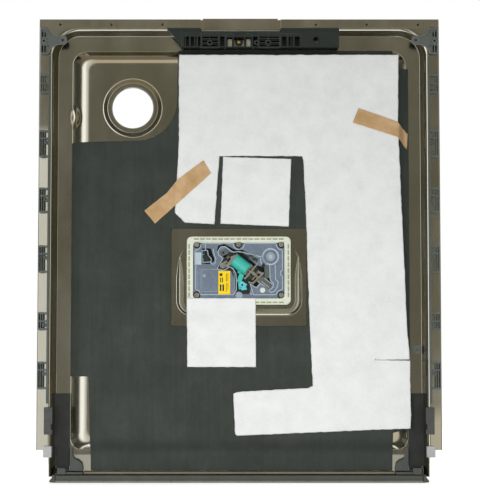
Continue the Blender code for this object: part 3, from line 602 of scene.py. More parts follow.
def well_shape(share):
    """Half width, top, foot and two corner radii of the well's outline, some share up its wall."""
    return (
        WELL_HALF - WELL_RUN_SIDE * share,
        WELL_TOP - WELL_RUN_TOP * share,
        WELL_FOOT + WELL_RUN_TOP * share,
        21.0 - 7.0 * share,
        17.0 - 3.0 * share,
    )


def outside_well(x, z, share):
    """Signed distance from the well's outline at a share: positive outside it."""
    half, top, foot, upper, lower = well_shape(share)
    radius = upper if z > (top + foot) / 2 else lower
    across = abs(x) - (half - radius)
    up = abs(z - (top + foot) / 2) - ((top - foot) / 2 - radius)
    corner = math.hypot(max(across, 0), max(up, 0))
    return corner + min(max(across, up), 0) - radius


def panel_depth(x, z):
    """Depth of the panel's outer face inside the sealing ring."""
    if outside_well(x, z, 0.0) > 0:
        slope = min(1.0, max(0.0, (APRON_TOP - z) / (APRON_TOP - PANEL_FOOT)))
        return APRON_DROP * slope * smooth_step(268, 256, abs(x))
    if outside_well(x, z, 1.0) < 0:
        return PLATEAU_Y
    low, high = 0.0, 1.0
    for _ in range(14):
        middle = (low + high) / 2
        if outside_well(x, z, middle) < 0:
            low = middle
        else:
            high = middle
    run = low * WELL_RUN_SIDE
    for (ra, ya), (rb, yb) in zip(WELL_PROFILE, WELL_PROFILE[1:]):
        if ra <= run <= rb:
            return ya + (yb - ya) * (run - ra) / max(rb - ra, 1e-6)
    return PLATEAU_Y


def wing_tilt(x, z):
    """How far the flange's outer edge is bent back: most of the left wing and the right wing's foot."""
    share = min(1.0, max(0.0, (abs(x) - STEP_HALF) / (HALF_WIDTH - STEP_HALF)))
    return share * (WING_TILT * (smooth_step(532, 512, z) if x < 0 else smooth_step(140, 112, z)))


def dent(x, z):
    """The oval pocket pressed into the left wall beside the vent."""
    away = ((x - DENT_X) / DENT_HALF) ** 2 + ((z - DENT_Z) / DENT_TALL) ** 2
    return DENT_DEPTH * math.cos(math.pi / 2 * math.sqrt(away)) ** 2 if away < 1 else 0.0


def inner_panel():
    """The pressed sheet: its flange and step, the well with the raised panel, vent boss, bead and opening."""
    shape = bmesh.new()
    step = HALF_WIDTH - STEP_HALF

    def line(points, depth, closed):
        verts = [shape.verts.new((x, depth, z)) for x, z in points]
        pairs = zip(verts, verts[1:] + verts[:1] if closed else verts[1:])
        return verts, [shape.edges.new(pair) for pair in pairs]

    def bridge(first, second, closed):
        for i in range(len(first) if closed else len(first) - 1):
            j = (i + 1) % len(first)
            shape.faces.new((first[i], first[j], second[j], second[i]))

    def fill(*rings):
        edges = [edge for ring in rings for edge in ring]
        bmesh.ops.triangle_fill(shape, edges=edges, use_beauty=True)

    def rim(inset):
        """A line up the right side, over the top and down the left side."""
        share, past = min(inset / step, 1.0), max(inset - step, 0.0)
        half, top = HALF_WIDTH - inset, TOP + (STEP_TOP - TOP) * share - past
        radius = FLANGE_RADIUS + (STEP_RADIUS - FLANGE_RADIUS) * share - past
        foot = (APRON_FOOT, APRON_TOP) if half < FLANGE_CUT else (FLANGE_FOOT, FLANGE_FOOT + 1)
        sides = (*foot, 60.0, 88.0, 116.0, 300.0, 512.0, 518.0, 525.0, 532.0)
        over = arc(half - radius, top - radius, radius, 0, 90, 16)
        over += arc(radius - half, top - radius, radius, 90, 180, 16)
        return [(half, z) for z in sides] + over + [(-half, z) for z in reversed(sides)]

    rim_profile = rounded(
        [(0, FLANGE_Y + 10), (0, FLANGE_Y), (step, FLANGE_Y), (step + STEP_RUN, 0), (step + STEP_RUN + 5, 0)],
        [0, 1.6, 5.0, 1.4, 0], 9, False,
    )
    rims = [line(rim(inset), depth, False) for inset, depth in rim_profile]
    for verts, _ in rims:
        for vert in verts:
            vert.co.y += wing_tilt(vert.co.x, vert.co.z)
    for (outer, _), (inner, _) in zip(rims, rims[1:]):
        bridge(outer, inner, False)

    def well(share):
        half, top, foot, upper, lower = well_shape(share)
        straight = top - upper - foot - lower
        right = [foot + lower + straight * i / 8 for i in range(1, 8)]
        close_by_dent = [i for i in range(1, 220) if i < 56 or i % 20 == 0]
        left = [top - upper - straight * i / 220 for i in close_by_dent]
        return (
            [(half, z) for z in right]
            + arc(half - upper, top - upper, upper, 0, 90, 14)
            + arc(upper - half, top - upper, upper, 90, 180, 14)
            + [(-half, z) for z in left]
            + arc(lower - half, foot + lower, lower, 180, 270, 14)
            + arc(half - lower, foot + lower, lower, 270, 360, 14)
        )

    wells = [line(well(run / WELL_RUN_SIDE), depth, True) for run, depth in WELL_PROFILE]
    for verts, _ in wells:
        for vert in verts:
            vert.co.y += dent(vert.co.x, vert.co.z)
    for (outer, _), (inner, _) in zip(wells, wells[1:]):
        bridge(outer, inner, True)

    # The ring, above a line across the apron's top, and the apron below it
    last = rims[-1][0]
    across = [last[1].co.x - 2 * last[1].co.x * i / 24 for i in range(1, 24)]
    top_row = [last[1], *(shape.verts.new((x, 0, APRON_TOP)) for x in across), last[-2]]
    top_edges = [shape.edges.new(pair) for pair in zip(top_row, top_row[1:])]
    fill(rims[-1][1][1:-1], top_edges, wells[0][1])
    before = top_row
    for i in range(1, 7):
        z = APRON_TOP + (APRON_FOOT - APRON_TOP) * i / 6
        if i < 6:
            row = [shape.verts.new((v.co.x, panel_depth(v.co.x, z), z)) for v in top_row]
        else:
            inner_row = [shape.verts.new((x, panel_depth(x, z), z)) for x in across]
            row = [last[0], *inner_row, last[-1]]
        bridge(before, row, False)
        before = row

    # Vent boss, bead and the dispenser's opening in the raised panel
    boss = rounded(
        [(BOSS_FOOT + 3, 0), (BOSS_FOOT, 0), (BOSS_HEAD, BOSS_RISE), (VENT_RADIUS - 0.6, BOSS_RISE),
         (VENT_RADIUS - 0.6, BOSS_RISE - 5)],
        [0, 5.5, 2.2, 1.2, 0], 8, False,
    )
    circles = [
        line(arc(VENT_X, VENT_Z, radius, 0, 360 - 3.75, 95), PLATEAU_Y - rise, True) for radius, rise in boss
    ]
    for (outer, _), (inner, _) in zip(circles, circles[1:]):
        bridge(outer, inner, True)

    route = [(-BEAD_HALF, BEAD_HEAD - 4 * i) for i in range(15)]
    route += arc(BEAD_RADIUS - BEAD_HALF, BEAD_FOOT + BEAD_RADIUS, BEAD_RADIUS, 180, 270, 12)
    route += [(-x, z) for x, z in reversed(route)]
    rows = []
    for i, (x, z) in enumerate(route):
        ahead, behind = route[min(i + 1, len(route) - 1)], route[max(i - 1, 0)]
        side = Vector((ahead[1] - behind[1], behind[0] - ahead[0])).normalized()
        taper = min(1.0, (BEAD_HEAD - z) / 30) ** 0.6
        narrow = max(taper, 0.12)
        row = []
        for j in range(13):
            share = j / 6 - 1
            rise = BEAD_RISE * taper * (0.5 + 0.5 * math.cos(math.pi * share))
            across_x = x + side.x * share * BEAD_WIDTH / 2 * narrow
            across_z = z + side.y * share * BEAD_WIDTH / 2 * narrow
            row.append(shape.verts.new((across_x, PLATEAU_Y - rise, across_z)))
        rows.append(row)
    for row_a, row_b in zip(rows, rows[1:]):
        bridge(row_a, row_b, False)
    round_bead = [row[0] for row in rows] + rows[-1][1:]
    round_bead += [row[-1] for row in reversed(rows[:-1])] + rows[0][-2:0:-1]
    pairs = zip(round_bead, round_bead[1:] + round_bead[:1])
    bead_edges = [shape.edges.get(pair) or shape.edges.new(pair) for pair in pairs]
    low, high = door_box("dispenser_cover")
    middle = (low + high) / 2
    cut_out = rectangle(middle.x, middle.z, (high.x - low.x) / 2 + 10.7, (high.z - low.z) / 2 + 10.5, 8)
    opening = [line(cut_out, depth, True) for depth in (PLATEAU_Y, PLATEAU_Y + 0.1)]
    fill(wells[-1][1], circles[0][1], bead_edges, opening[0][1])
    bmesh.ops.delete(shape, geom=opening[1][0], context="VERTS")

    bmesh.ops.recalc_face_normals(shape, faces=shape.faces)
    shape.faces.ensure_lookup_table()
    if max(shape.faces, key=lambda face: face.calc_area()).normal.y > 0:
        bmesh.ops.reverse_faces(shape, faces=shape.faces)
    panel = make("pressed_panel", [taken(shape)], "stainless", replaced=["inner_panel"], smooth=30)
    panel.modifiers.clear()
    solid = panel.modifiers.new("sheet", "SOLIDIFY")
    solid.thickness = SHEET * MM
    solid.offset = -1.0
    settle(panel, 30)


def top_hems():
    """The flange's top edge, folded double on both sides of the latch plate."""
    low, high = door_box("latch_plate")
    holes = (-267.6, -191.0, -114.8, 114.8, 191.0, 267.6)
    edge = HALF_WIDTH - 0.4
    for name, left, right in (("left", -edge, low.x - 1.0), ("right", high.x + 0.6, edge)):
        outline = rounded([(left, 677), (right, 677), (right, TOP + 0.3), (left, TOP + 0.3)], 0.8, 3)
        punched = [arc(x, 681.2, 1.9, 0, 345, 23) for x in holes if left < x < right]
        hem = slab([outline, *punched], (FLANGE_Y - 1.6, FLANGE_Y - 0.1), 0.3)
        make(f"top_hem_{name}", [hem], "stainless")
    # The hole floors are painted shade: near-black discs behind the holes.
    floors = [disc(x, 681.2, 2.3, (FLANGE_Y - 0.05, FLANGE_Y - 0.7), 0.1, steps=20) for x in holes]
    make("hem_hole_floors", floors, "stainless", look=PAINTED_SHADE)


# ---------------------------------------------------------------- mat, felt sheets and tapes

MAT_THICK, FELT_THICK, TAPE_THICK = 2.5, 2.4, 0.3
FELT_BACK = -12.1


def within(x, z, loops):
    """Inside the first outline and in none of its holes."""
    return inside(x, z, loops[0]) and not any(inside(x, z, hole) for hole in loops[1:])


def cut_sheet(name, node, slot, depth_at, thickness, spacing, fray, edge, seed, loops=None):
    """A soft sheet cut to the CAD node's outline, laid to a depth, with rounded and slightly ragged edges."""
    wobble = random.Random(seed)
    loops = loops or front_loops(node)
    rough_loops = []
    for loop in loops:
        ragged = []
        for x, z in resampled(loop, spacing * 0.6):
            shift = noise.noise_vector(Vector((x * 0.11, seed * 7.7, z * 0.11))) * fray * 1.6
            fine = noise.noise_vector(Vector((x * 0.5, seed * 3.1, z * 0.5))) * fray
            ragged.append((x + shift.x + fine.x, z + shift.z + fine.z))
        rough_loops.append(ragged)
    points, rings, heights = [], [], []
    for loop in rough_loops:
        count = len(loop)
        area = sum(a[0] * b[1] - b[0] * a[1] for a, b in zip(loop, loop[1:] + loop[:1]))
        sign = (1 if area > 0 else -1) * (1 if loop is rough_loops[0] else -1)
        for inset, lift in ((0.0, 0.0), (edge * 0.15, 0.53), (edge * 0.45, 0.84), (edge, 1.0)):
            first = len(points)
            for i in range(count):
                before, after = Vector(loop[i - 1]), Vector(loop[(i + 1) % count])
                along = (after - before).normalized()
                spot = Vector(loop[i]) + Vector((-along.y, along.x)) * sign * inset
                points.append(spot)
                heights.append(lift)
            if inset == 0.0:
                rings.append([(first + i, first + (i + 1) % count) for i in range(count)])
    low_x, high_x = min(p.x for p in points), max(p.x for p in points)
    low_z, high_z = min(p.y for p in points), max(p.y for p in points)
    z = low_z + spacing
    while z < high_z:
        x = low_x + spacing
        while x < high_x:
            spot = (x + wobble.uniform(-0.25, 0.25) * spacing, z + wobble.uniform(-0.25, 0.25) * spacing)
            if within(*spot, rough_loops):
                near = min(
                    (spot[0] - p[0]) ** 2 + (spot[1] - p[1]) ** 2 for loop in rough_loops for p in loop[::2]
                )
                if near > (edge + spacing * 0.45) ** 2:
                    points.append(Vector(spot))
                    heights.append(1.0)
            x += spacing
        z += spacing
    constraints = [pair for ring in rings for pair in ring]
    spots, _, faces, origins, _, _ = geometry.delaunay_2d_cdt(points, constraints, [], 0, 0.0005)
    kept = []
    for face in faces:
        cx, cz = (sum(spots[i][k] for i in face) / len(face) for k in (0, 1))
        if within(cx, cz, rough_loops):
            kept.append(list(face))
    lifts = [max((heights[i] for i in source), default=1.0) for source in origins]
    front, back, made_faces = [], [], []
    for spot, lift in zip(spots, lifts):
        rest = depth_at(spot[0], spot[1])
        front.append((spot[0], rest - thickness * lift, spot[1]))
        back.append((spot[0], rest, spot[1]))
    count = len(front)
    index = {i: (i if lifts[i] == 0.0 else count + i) for i in range(count)}
    for face in kept:
        a, b, c = (Vector((spots[i][0], spots[i][1])) for i in face[:3])
        turn = (b - a).cross(c - a)
        ring = face if turn > 0 else face[::-1]
        made_faces += [ring, [index[i] for i in reversed(ring)]]
    shape = bmesh.new()
    verts = [shape.verts.new(p) for p in front + back]
    for face in made_faces:
        try:
            shape.faces.new([verts[i] for i in face])
        except ValueError:  # a face between rim points only has no back of its own
            pass
    loose = [v for v in shape.verts if not v.link_faces]
    bmesh.ops.delete(shape, geom=loose, context="VERTS")
    return make(name, [taken(shape)], slot, replaced=[node], smooth=70), rough_loops[0]


def smooth_bends(loop):
    """A loop whose slight bends are made round, and whose corners stay nearly sharp."""
    spots = [Vector(p) for p in loop]
    turns = []
    for i, spot in enumerate(spots):
        before, after = spots[i - 1], spots[(i + 1) % len(spots)]
        turns.append((spot - before).angle(after - spot) if spot != before else 0.0)
    radii = [0 if turn < 0.01 else 300 if turn < 0.8 else 1.5 for turn in turns]
    return rounded(loop, radii, 6)


def waves(x, z, size, height, seed):
    return height * noise.noise(Vector((x / size, seed * 5.3, z / size)))


def damping_mat():
    def depth(x, z):
        return panel_depth(x, z) - 0.15 - 0.12 * (1 + noise.noise(Vector((x / 60, 2.2, z / 60))))

    def spread_out(loop):
        """The mat creeps past the crease at the sides and up under the latch bracket."""
        moved = []
        for x, z in loop:
            side = 7.0 if x > 236 else -3.7 if x < -236 else 0.0
            up = 5.0 if z > 636 else 12.0 if x > 220 and 55 < z < 70 else 0.0
            moved.append((x + side, z + up))
        return moved

    loops = [smooth_bends(spread_out(loop)) for loop in front_loops("damping_mat")]
    cut_sheet("bitumen_sheet", "damping_mat", "bitumen", depth, MAT_THICK, 6.0, 0.2, 1.0, 3, loops)


def absorber_sheet():
    """The large felt, with a slit in from its right edge and a crease that runs down from the slit's end."""
    loop = front_loops("absorber_sheet")[0]
    slit_z, slit_end = 180.4, 201.0
    slit = []
    for a, b in zip(loop, loop[1:] + loop[:1]):
        slit.append(a)
        if min(a[0], b[0]) > 230 and min(a[1], b[1]) < slit_z < max(a[1], b[1]):
            edge_x = a[0] + (b[0] - a[0]) * (slit_z - a[1]) / (b[1] - a[1])
            way = 1 if b[1] > a[1] else -1
            slit += [(edge_x, slit_z - 0.7 * way), (slit_end, slit_z), (edge_x, slit_z + 0.7 * way)]

    def depth(x, z):
        lift = waves(x, z, 75, 0.5, 1) + waves(x, z, 24, 0.16, 4)
        flap = smooth_step(slit_end - 12, 250, x) * smooth_step(150, 176, z) * (1 if z < slit_z else 0)
        top = smooth_step(622, 640, z) * -1.0 + smooth_step(232, 256, x) * -1.2
        crease = abs((x - 200) + (z - 180) * -0.4)
        fold = 0.5 * math.exp(-((crease / 3.0) ** 2)) * smooth_step(144, 150, z) * smooth_step(184, 178, z)
        return FELT_BACK - abs(lift) - 1.8 * flap - top * 0.6 + fold

    piece, outline = cut_sheet(
        "felt_large", "absorber_sheet", "white_felt", depth, FELT_THICK, 5.0, 0.42, 1.5, 5, [slit]
    )


def absorber_squares():
    def flat(x, z):
        return FELT_BACK - abs(waves(x, z, 40, 0.4, 2)) - 0.5 * smooth_step(400, 383, z)

    piece, outline = cut_sheet(
        "felt_upper", "absorber_square_upper", "white_felt", flat, FELT_THICK, 4.0, 0.3, 1.4, 8
    )

    low, high = door_box("absorber_square_lower")
    crest = low.y + FELT_THICK
    loop = [(low.x, low.z), (high.x, low.z), (high.x - 0.6, high.z), (low.x - 0.6, high.z)]

    def draped(x, z):
        rise = smooth_step(228, 262, z)
        return FELT_BACK + (crest - FELT_BACK) * rise - abs(waves(x, z, 40, 0.35, 9)) * (1 - rise)

    piece, outline = cut_sheet(
        "felt_lower", "absorber_square_lower", "white_felt", draped, FELT_THICK, 4.0, 0.3, 1.4, 9, [loop]
    )


def tapes():
    """Paper tapes that come down from the felt to the mat past the felt's edge."""
    felt_loop = front_loops("absorber_sheet")[0]
    felt_edge = resampled(felt_loop, 2.0)
    for side, seed in (("left", 11), ("right", 12)):
        node = f"tape_{side}"

        def depth(x, z, seed=seed):
            gap = min(math.dist((x, z), p) for p in felt_edge)
            signed = -gap if inside(x, z, felt_loop) else gap
            fall = smooth_step(-0.5, 7.0, signed)
            crinkle = waves(x, z, 5, 0.12, seed) + waves(x, z, 14, 0.25, seed + 1)
            on_felt = FELT_BACK - FELT_THICK - 0.75
            on_mat = panel_depth(x, z) - 3.05
            return on_felt + (on_mat - on_felt) * fall - abs(crinkle)

        piece, outline = cut_sheet(
            f"paper_tape_{side}", node, "tan_tape", depth, TAPE_THICK, 2.6, 0.12, 0.4, seed
        )


# ---------------------------------------------------------------- mouldings on the flange


def side_trims():
    groups = ((137, 178), (224, 251), (309, 350), (398, 436), (481, 522), (577, 606))
    for side, name in ((-1, "left"), (1, "right")):
        low, high = door_box(f"side_trim_{name}")
        inner, outer = (high.x, low.x) if side < 0 else (low.x, high.x)
        strip = inner + side * 4.2
        inner += side * 1.3
        front, back = low.y, high.y
        outer_rib = outer - side * 0.9
        shapes = [
            block((inner, strip), (front + 1.6, back), (low.z, high.z), 0.6, 3),
            block((strip - side * 1.2, strip), (front, back), (low.z + 2, high.z - 2), 0.5),
        ]
        for foot, head in groups:
            split = head - 12.5 if head - foot > 30 else (foot + head) / 2
            rail = strip + side * 5.0
            body = rounded([(rail, foot), (outer, foot), (outer, head), (rail, head)], 1.2, 3)
            slots = []
            for x in (rail + side * 1.1, rail + side * 4.4):
                for bottom, top in ((foot + 3, split - 1.2), (split + 1.2, head - 3)):
                    cell = [(x, bottom), (x + side * 2.0, bottom), (x + side * 2.0, top), (x, top)]
                    slots.append(rounded(cell, 0.7, 3))
            shapes.append(slab([body, *slots], (front + 0.6, back), 0.35))
            rung = (strip - side, rail + side * 1.5)
            for z in (foot + 1.8, split, head - 1.8):
                shapes.append(block(rung, (front + 1.8, back), (z - 1.4, z + 1.4), 0.4))
            eye = strip + side * 2.6
            shapes.append(disc(eye, split - 5.5, 2.9, (back, front + 1.2), 0.4, 1.3, steps=24))
            bar_ends = (rail + side, outer - side)
            shapes.append(block(bar_ends, (front - 0.1, back), (split - 0.7, split + 0.7), 0.3))
            shapes.append(block((outer_rib, outer), (front, back), (foot + 1, head - 1), 0.3))
        make(f"trim_{name}", shapes, "grey_plastic", replaced=[f"side_trim_{name}"])


def corner_brackets():
    """Each has two screw eyes and six slots beside the trim, with raised edges painted lighter as a highlight
    and floors painted near-black as shade.
    """
    for side, name in ((-1, "left"), (1, "right")):
        node = f"corner_bracket_{name}"
        low, high = door_box(node)
        outline = front_loops(node)[0]
        front, back = low.y, high.y
        lobe, eye = (side * 263.9, 657.4), (side * 291.9, 656.2)
        holes = [arc(*lobe, 1.7, 0, 345, 23)]
        for x in (289.0, 292.9):
            for bottom, top in ((662.5, 670.5), (653.5, 659.5), (639.5, 649.5)):
                cell = [(x, bottom), (x + 2.2, bottom), (x + 2.2, top), (x, top)]
                holes.append(rounded([(side * px, pz) for px, pz in cell], 0.6, 2))
        holes.append(arc(side * 285.4, 648.6, 1.1, 0, 337, 15))

        def line(spots, out, radius, closed=False):
            return tube([(x, front + out, z) for x, z in spots], radius, closed)

        rib = [(side * x, z) for x, z in ((285.6, 675.0), (283.2, 668.2), (278.6, 663.6), (270.0, 661.9))]
        brace = [(side * x, z) for x, z in ((296.0, 675.0), (292.0, 671.4), (287.6, 668.4))]
        shapes = [
            slab([outline, *holes], (front + 1.0, back), 0.6, 3),
            disc(*lobe, 4.6, (back, front + 0.4), 0.5, 1.8),
            disc(*eye, 3.4, (back, front), 0.5, 1.6, steps=24),
            block((side * 287.0, side * 288.2), (front + 0.1, back), (638, 673), 0.4),
            block((side * 295.7, side * 296.6), (front + 0.1, back), (638, 674), 0.3),
            line(rib, 1.1, 0.7),
            line(brace, 0.9, 0.8),
        ]
        make(f"corner_moulding_{name}", shapes, "grey_plastic", replaced=[node])
        # Painted shade: near-black floors in the lobe, the eye and the slots.
        floors = [
            disc(*lobe, 2.0, (back, front + 1.6), 0.2),
            disc(*eye, 1.9, (back, front - 0.1), 0.2),
            block((side * 288.6, side * 295.5), (back - 0.6, back - 0.1), (638.8, 671.2), 0.1),
        ]
        make(f"corner_recess_shade_{name}", floors, "grey_plastic", look=PAINTED_SHADE)
        # Painted highlight: the raised rims and ribs in a lighter grey.
        rims = [
            line(outline, 1.0, 0.5, True),
            line(arc(*eye, 3.0, 0, 345, 23), 0.2, 0.55, True),
            line(arc(*lobe, 4.2, 0, 345, 23), 0.6, 0.4, True),
        ]
        for x in (288.3, 291.9, 295.8):
            for foot, head in ((639.5, 652.0), (660.5, 671.0)):
                rims.append(line([(side * x, foot), (side * x, head)], 0.9, 0.45))
        make(f"corner_ribs_{name}", rims, "grey_plastic", look=EDGE_HIGHLIGHT)


LATCH_BOXES = ((-56.5, -30.1), (28.4, 61.3))
LATCH_ARCHES = [
    (-22.2, 644.0), (-20.8, 644.4), (-20.4, 664.0), (-16.0, 667.4), (-10.8, 667.4), (-8.1, 664.0),
    (-8.1, 647.9), (7.7, 647.9), (7.7, 664.6), (11.2, 667.4), (16.5, 667.4), (20.0, 664.0), (20.4, 644.4),
    (21.8, 644.0),
]
LATCH_LINES = (  # two ends, x and z each
    (-80.2, 667.6, -80.2, 646.1), (-73.7, 667.6, -73.7, 646.1), (-66.5, 666.3, -66.5, 646.1),
    (-57.3, 668.4, -57.3, 645.4), (-44.2, 667.9, -44.2, 657.3), (-55.6, 659.6, -30.1, 659.6),
    (-55.6, 653.8, -47.7, 653.8), (-40.3, 653.8, -30.1, 653.8), (43.4, 667.9, 43.4, 658.2),
    (43.4, 649.3, 43.4, 644.6), (29.3, 660.3, 61.0, 660.3), (29.3, 653.8, 38.5, 653.8),
    (47.3, 653.8, 61.0, 653.8), (71.5, 667.6, 71.5, 646.9), (77.5, 667.6, 77.5, 646.9),
    (91.2, 667.6, 91.2, 646.9), (62.2, 667.6, 91.2, 667.6), (-86.4, 675.5, -86.4, 646.1),
)


def latch():
    low, high = door_box("latch_bracket")
    face = low.y
    shapes = []
    for x, z in ((-44.0, 654.2), (25.6, 654.2), (43.8, 654.2)):
        shapes.append(disc(x, z, 3.9, (face + 12, face - 0.6), 0.5, 1.9, steps=28))
    for left, right in ((-55, -33), (30.6, 59.4)):
        for z in (651.6, 657.8):
            shapes.append(block((left, right), (face + 0.4, face + 12), (z - 0.6, z + 0.6), 0.25))
    shapes.append(block((-107.6, 148.5), (face - 0.7, face + 0.4), (671.8, 673.4), 0.3))
    shapes.append(block((-85, 148.5), (face - 0.7, face + 0.4), (646.7, 648.0), 0.3))
    shapes.append(disc(140.4, 649.8, 2.6, (face + 1, face - 0.8), 0.3, 1.2, steps=24))
    shapes.append(disc(114.8, 658.0, 6.2, (face + 1.2, face - 0.7), 0.4, 4.5))
    for x in (-18.9, -9.6, -8.2, 7.6, 8.9, 18.9):
        shapes.append(block((x - 0.5, x + 0.5), (face - 0.7, face + 10), (648.5, 663), 0.2))
    arch = ((-7.6, 663.0), (-5.2, 666.8), (0, 668.2), (5.2, 666.8), (7.4, 663.0))
    shapes.append(tube([(x, face - 0.5, z) for x, z in arch], 0.7))
    bracket = detailed("latch_bracket", *shapes, bevel=0.35)
    # Painted shade: the bracket's downward faces take the near-black material.
    bracket.data.materials.append(PAINTED_SHADE)
    for part in bracket.data.polygons:
        if part.normal.z < -0.7:
            part.material_index = 1
    ribs = [[(a, 668.4), (b, 668.4), (b, 646.1), (a, 646.1), (a, 668.4)] for a, b in LATCH_BOXES]
    ribs.append(LATCH_ARCHES)
    ribs += [[line[:2], line[2:]] for line in LATCH_LINES]
    edges = raised(ribs, face - 0.1, 0.5)
    for (x, z), radius in (((-44.2, 653.6), 3.4), ((42.9, 653.6), 4.0), ((26.2, 653.6), 2.6)):
        edges.append(tube([(px, face - 0.2, pz) for px, pz in arc(x, z, radius, 0, 340, 17)], 0.6, True))
    # Painted highlight: the ribs are lighter than the bracket's own plastic.
    make("latch_ribs", edges, "dark_plastic", look=LATCH_RIB_HIGHLIGHT)
    detailed("latch_plate", bevel=0.25, look=LOOKS["stainless"])
    lip = tube([(-56, face + 0.1, 671.7), (60.6, face + 0.1, 671.7)], 0.7)
    make("latch_plate_lip", [lip], "zinc_steel", look=SILVER)
    detailed("latch_strike", bevel=0.4)
    low, high = door_box("latch_rivet")
    middle = (low + high) / 2
    shank = disc(middle.x, middle.z, 2.6, (high.y, low.y + 1.6), 0.2)
    head = lathe(
        (middle.x, low.y + 1.8, middle.z),
        [(0.01, -1.2), (4.3, -1.2), (4.4, -0.4), (3.9, 0.6), (2.6, 1.5), (1.3, 1.75), (1.1, 1.1),
         (0.01, 1.0)],
    )
    make("rivet", [shank, head], "brass", replaced=["latch_rivet"])


# ---------------------------------------------------------------- hinge corners and the bottom edge


def hinge_corners():
    for side, name in ((-1, "left"), (1, "right")):
        low, high = door_box(f"guide_block_{name}")
        grips = [
            block((side * 277, side * 286), (low.y - 0.6, low.y + 1), (z, z + 2), 0.3) for z in (74, 90, 106)
        ]
        detailed(f"guide_block_{name}", *grips, bevel=0.8, look=DARK_GREY)
        low, high = door_box(f"hinge_bearing_{name}")
        detailed(
            f"hinge_bearing_{name}",
            block((side * 276, side * 286.6), (low.y - 0.5, low.y + 0.8), (39, 40.4), 0.3),
            disc(side * 281.4, 46.0, 3.6, (low.y + 0.6, low.y - 0.5), 0.3, 1.5, steps=24),
            bevel=0.7,
        )
        detailed(f"hinge_arm_{name}", bevel=0.35)
        detailed(f"hinge_pin_{name}", bevel=0.4)
        low, high = door_box(f"side_pad_{name}")
        skirt = block((side * 269.5, side * 273.4), (high.y - 2.6, high.y), (low.z, high.z), 0.6)
        # Painted shadow: the black block below the pad fills the dark gap down to the foot bracket.
        shadow_fill = block((low.x + 0.5, high.x - 0.5), (high.y - 1.4, high.y), (low.z - 5.5, low.z + 2), 0.5)
        detailed(f"side_pad_{name}", skirt, shadow_fill, bevel=0.4, look=SOFT_BLACK)
        detailed(f"foot_bracket_{name}", bevel=0.7, look=DARK_GREY)
        detailed(f"rail_clip_{name}", bevel=0.6, look=DARK_GREY)
        detailed(f"rail_cap_{name}", bevel=0.6, look=RAIL_GREY)


def bottom_rail():
    low, high = door_box("bottom_rail")
    rib = (low.y - 0.25, low.y + 1)
    seams = [block((x - 0.4, x + 0.4), rib, (0.8, 3.2), 0.1) for x in range(-250, 251, 50)]
    detailed("bottom_rail", *seams, bevel=0.7, look=RAIL_GREY)
    lip = block((low.x + 0.4, high.x - 0.4), rib, (0.15, 3.3), 0.4)
    make("rail_lip", [lip], "grey_plastic", look=LIP_GREY)
    detailed("lower_seal", bevel=0.5, look=FOOT_BEIGE)
    low, high = door_box("screw_tab")
    detailed("screw_tab", disc(264.8, 195.9, 3.6, (low.y + 0.4, low.y - 0.9), 0.3, 2.1, steps=24), bevel=0.5)


# ---------------------------------------------------------------- detergent dispenser


def dispenser():
    """The dispenser's body: a cavity whose walls are painted near-black as shade, and a rim with weld marks
    between two raised lines.
    """
    rear = door_box("dispenser_body")[0].y
    low, high = door_box("dispenser_cover")
    middle = (low + high) / 2
    half_w, half_h, corner = 76.75, 50.3, 7.0
    body = from_cad("dispenser_body", 0.45)
    piece = make("dispenser_rear", [body], "cream_plastic", replaced=["dispenser_body"])
    pitch, width, run, inset = 8.95, 2.2, 7.2, 3.4
    marks = []
    for sign in (-1, 1):
        marks += [(i * pitch, sign * (half_h - inset), run, width) for i in range(-7, 8)]
        marks += [(sign * (half_w - inset), i * pitch, width, run) for i in range(-4, 5)]
    dashes, floors = [], []
    for off_x, off_z, wide, tall in marks:
        x, z = middle.x + off_x, middle.z + off_z
        cut = block((x - wide / 2, x + wide / 2), (rear - 1, rear + 1.4), (z - tall / 2, z + tall / 2), 0)
        xs, zs = [p[0] for p in cut[0]], [p[2] for p in cut[0]]
        within = (min(xs) + 0.1, max(xs) - 0.1), (rear + 0.8, rear + 1.3), (min(zs) + 0.1, max(zs) - 0.1)
        dashes.append(cut)
        floors.append(block(*within, 0.1))
    carve(piece, dashes)
    # Painted shade: faces inside the cavity take the near-black material in place of the cream.
    piece.data.materials.append(CAVITY_SHADE)
    for face in piece.data.polygons:
        spot = (face.center - ZERO) / MM
        if abs(spot.x - middle.x) < 67.9 and abs(spot.z - middle.z) < 41.6 and spot.y > rear + 0.9:
            face.material_index = 1
    make("dispenser_weld_marks", floors, "cream_plastic", look=DASHES)
    ribs = []
    for inset in (0.9, 7.6):
        loop = rectangle(middle.x, middle.z, half_w - inset, half_h - inset, max(corner - inset, 1.5), 6)
        ribs.append(tube([(x, rear + 0.1, z) for x, z in loop], 0.5, True))
    make("dispenser_rim_lines", ribs, "cream_plastic")


def settle(piece, smooth):
    """Makes a piece's modifiers part of its mesh, then sharpens its edges again."""
    bpy.context.view_layer.update()
    mesh = bpy.data.meshes.new_from_object(piece.evaluated_get(bpy.context.evaluated_depsgraph_get()))
    piece.modifiers.clear()
    piece.data = mesh
    sharpen(piece, smooth)


def carve(piece, shapes):
    """Cuts shapes out of a piece."""
    cutter = bpy.data.objects.new("cutter", bpy.data.meshes.new("cutter"))
    points, faces = merged(shapes)
    cutter.data.from_pydata(points, [], faces)
    bpy.context.scene.collection.objects.link(cutter)
    change = piece.modifiers.new("carve", "BOOLEAN")
    change.operation = "DIFFERENCE"
    change.solver = "EXACT"
    change.object = cutter
    settle(piece, 38)
    bpy.data.objects.remove(cutter)


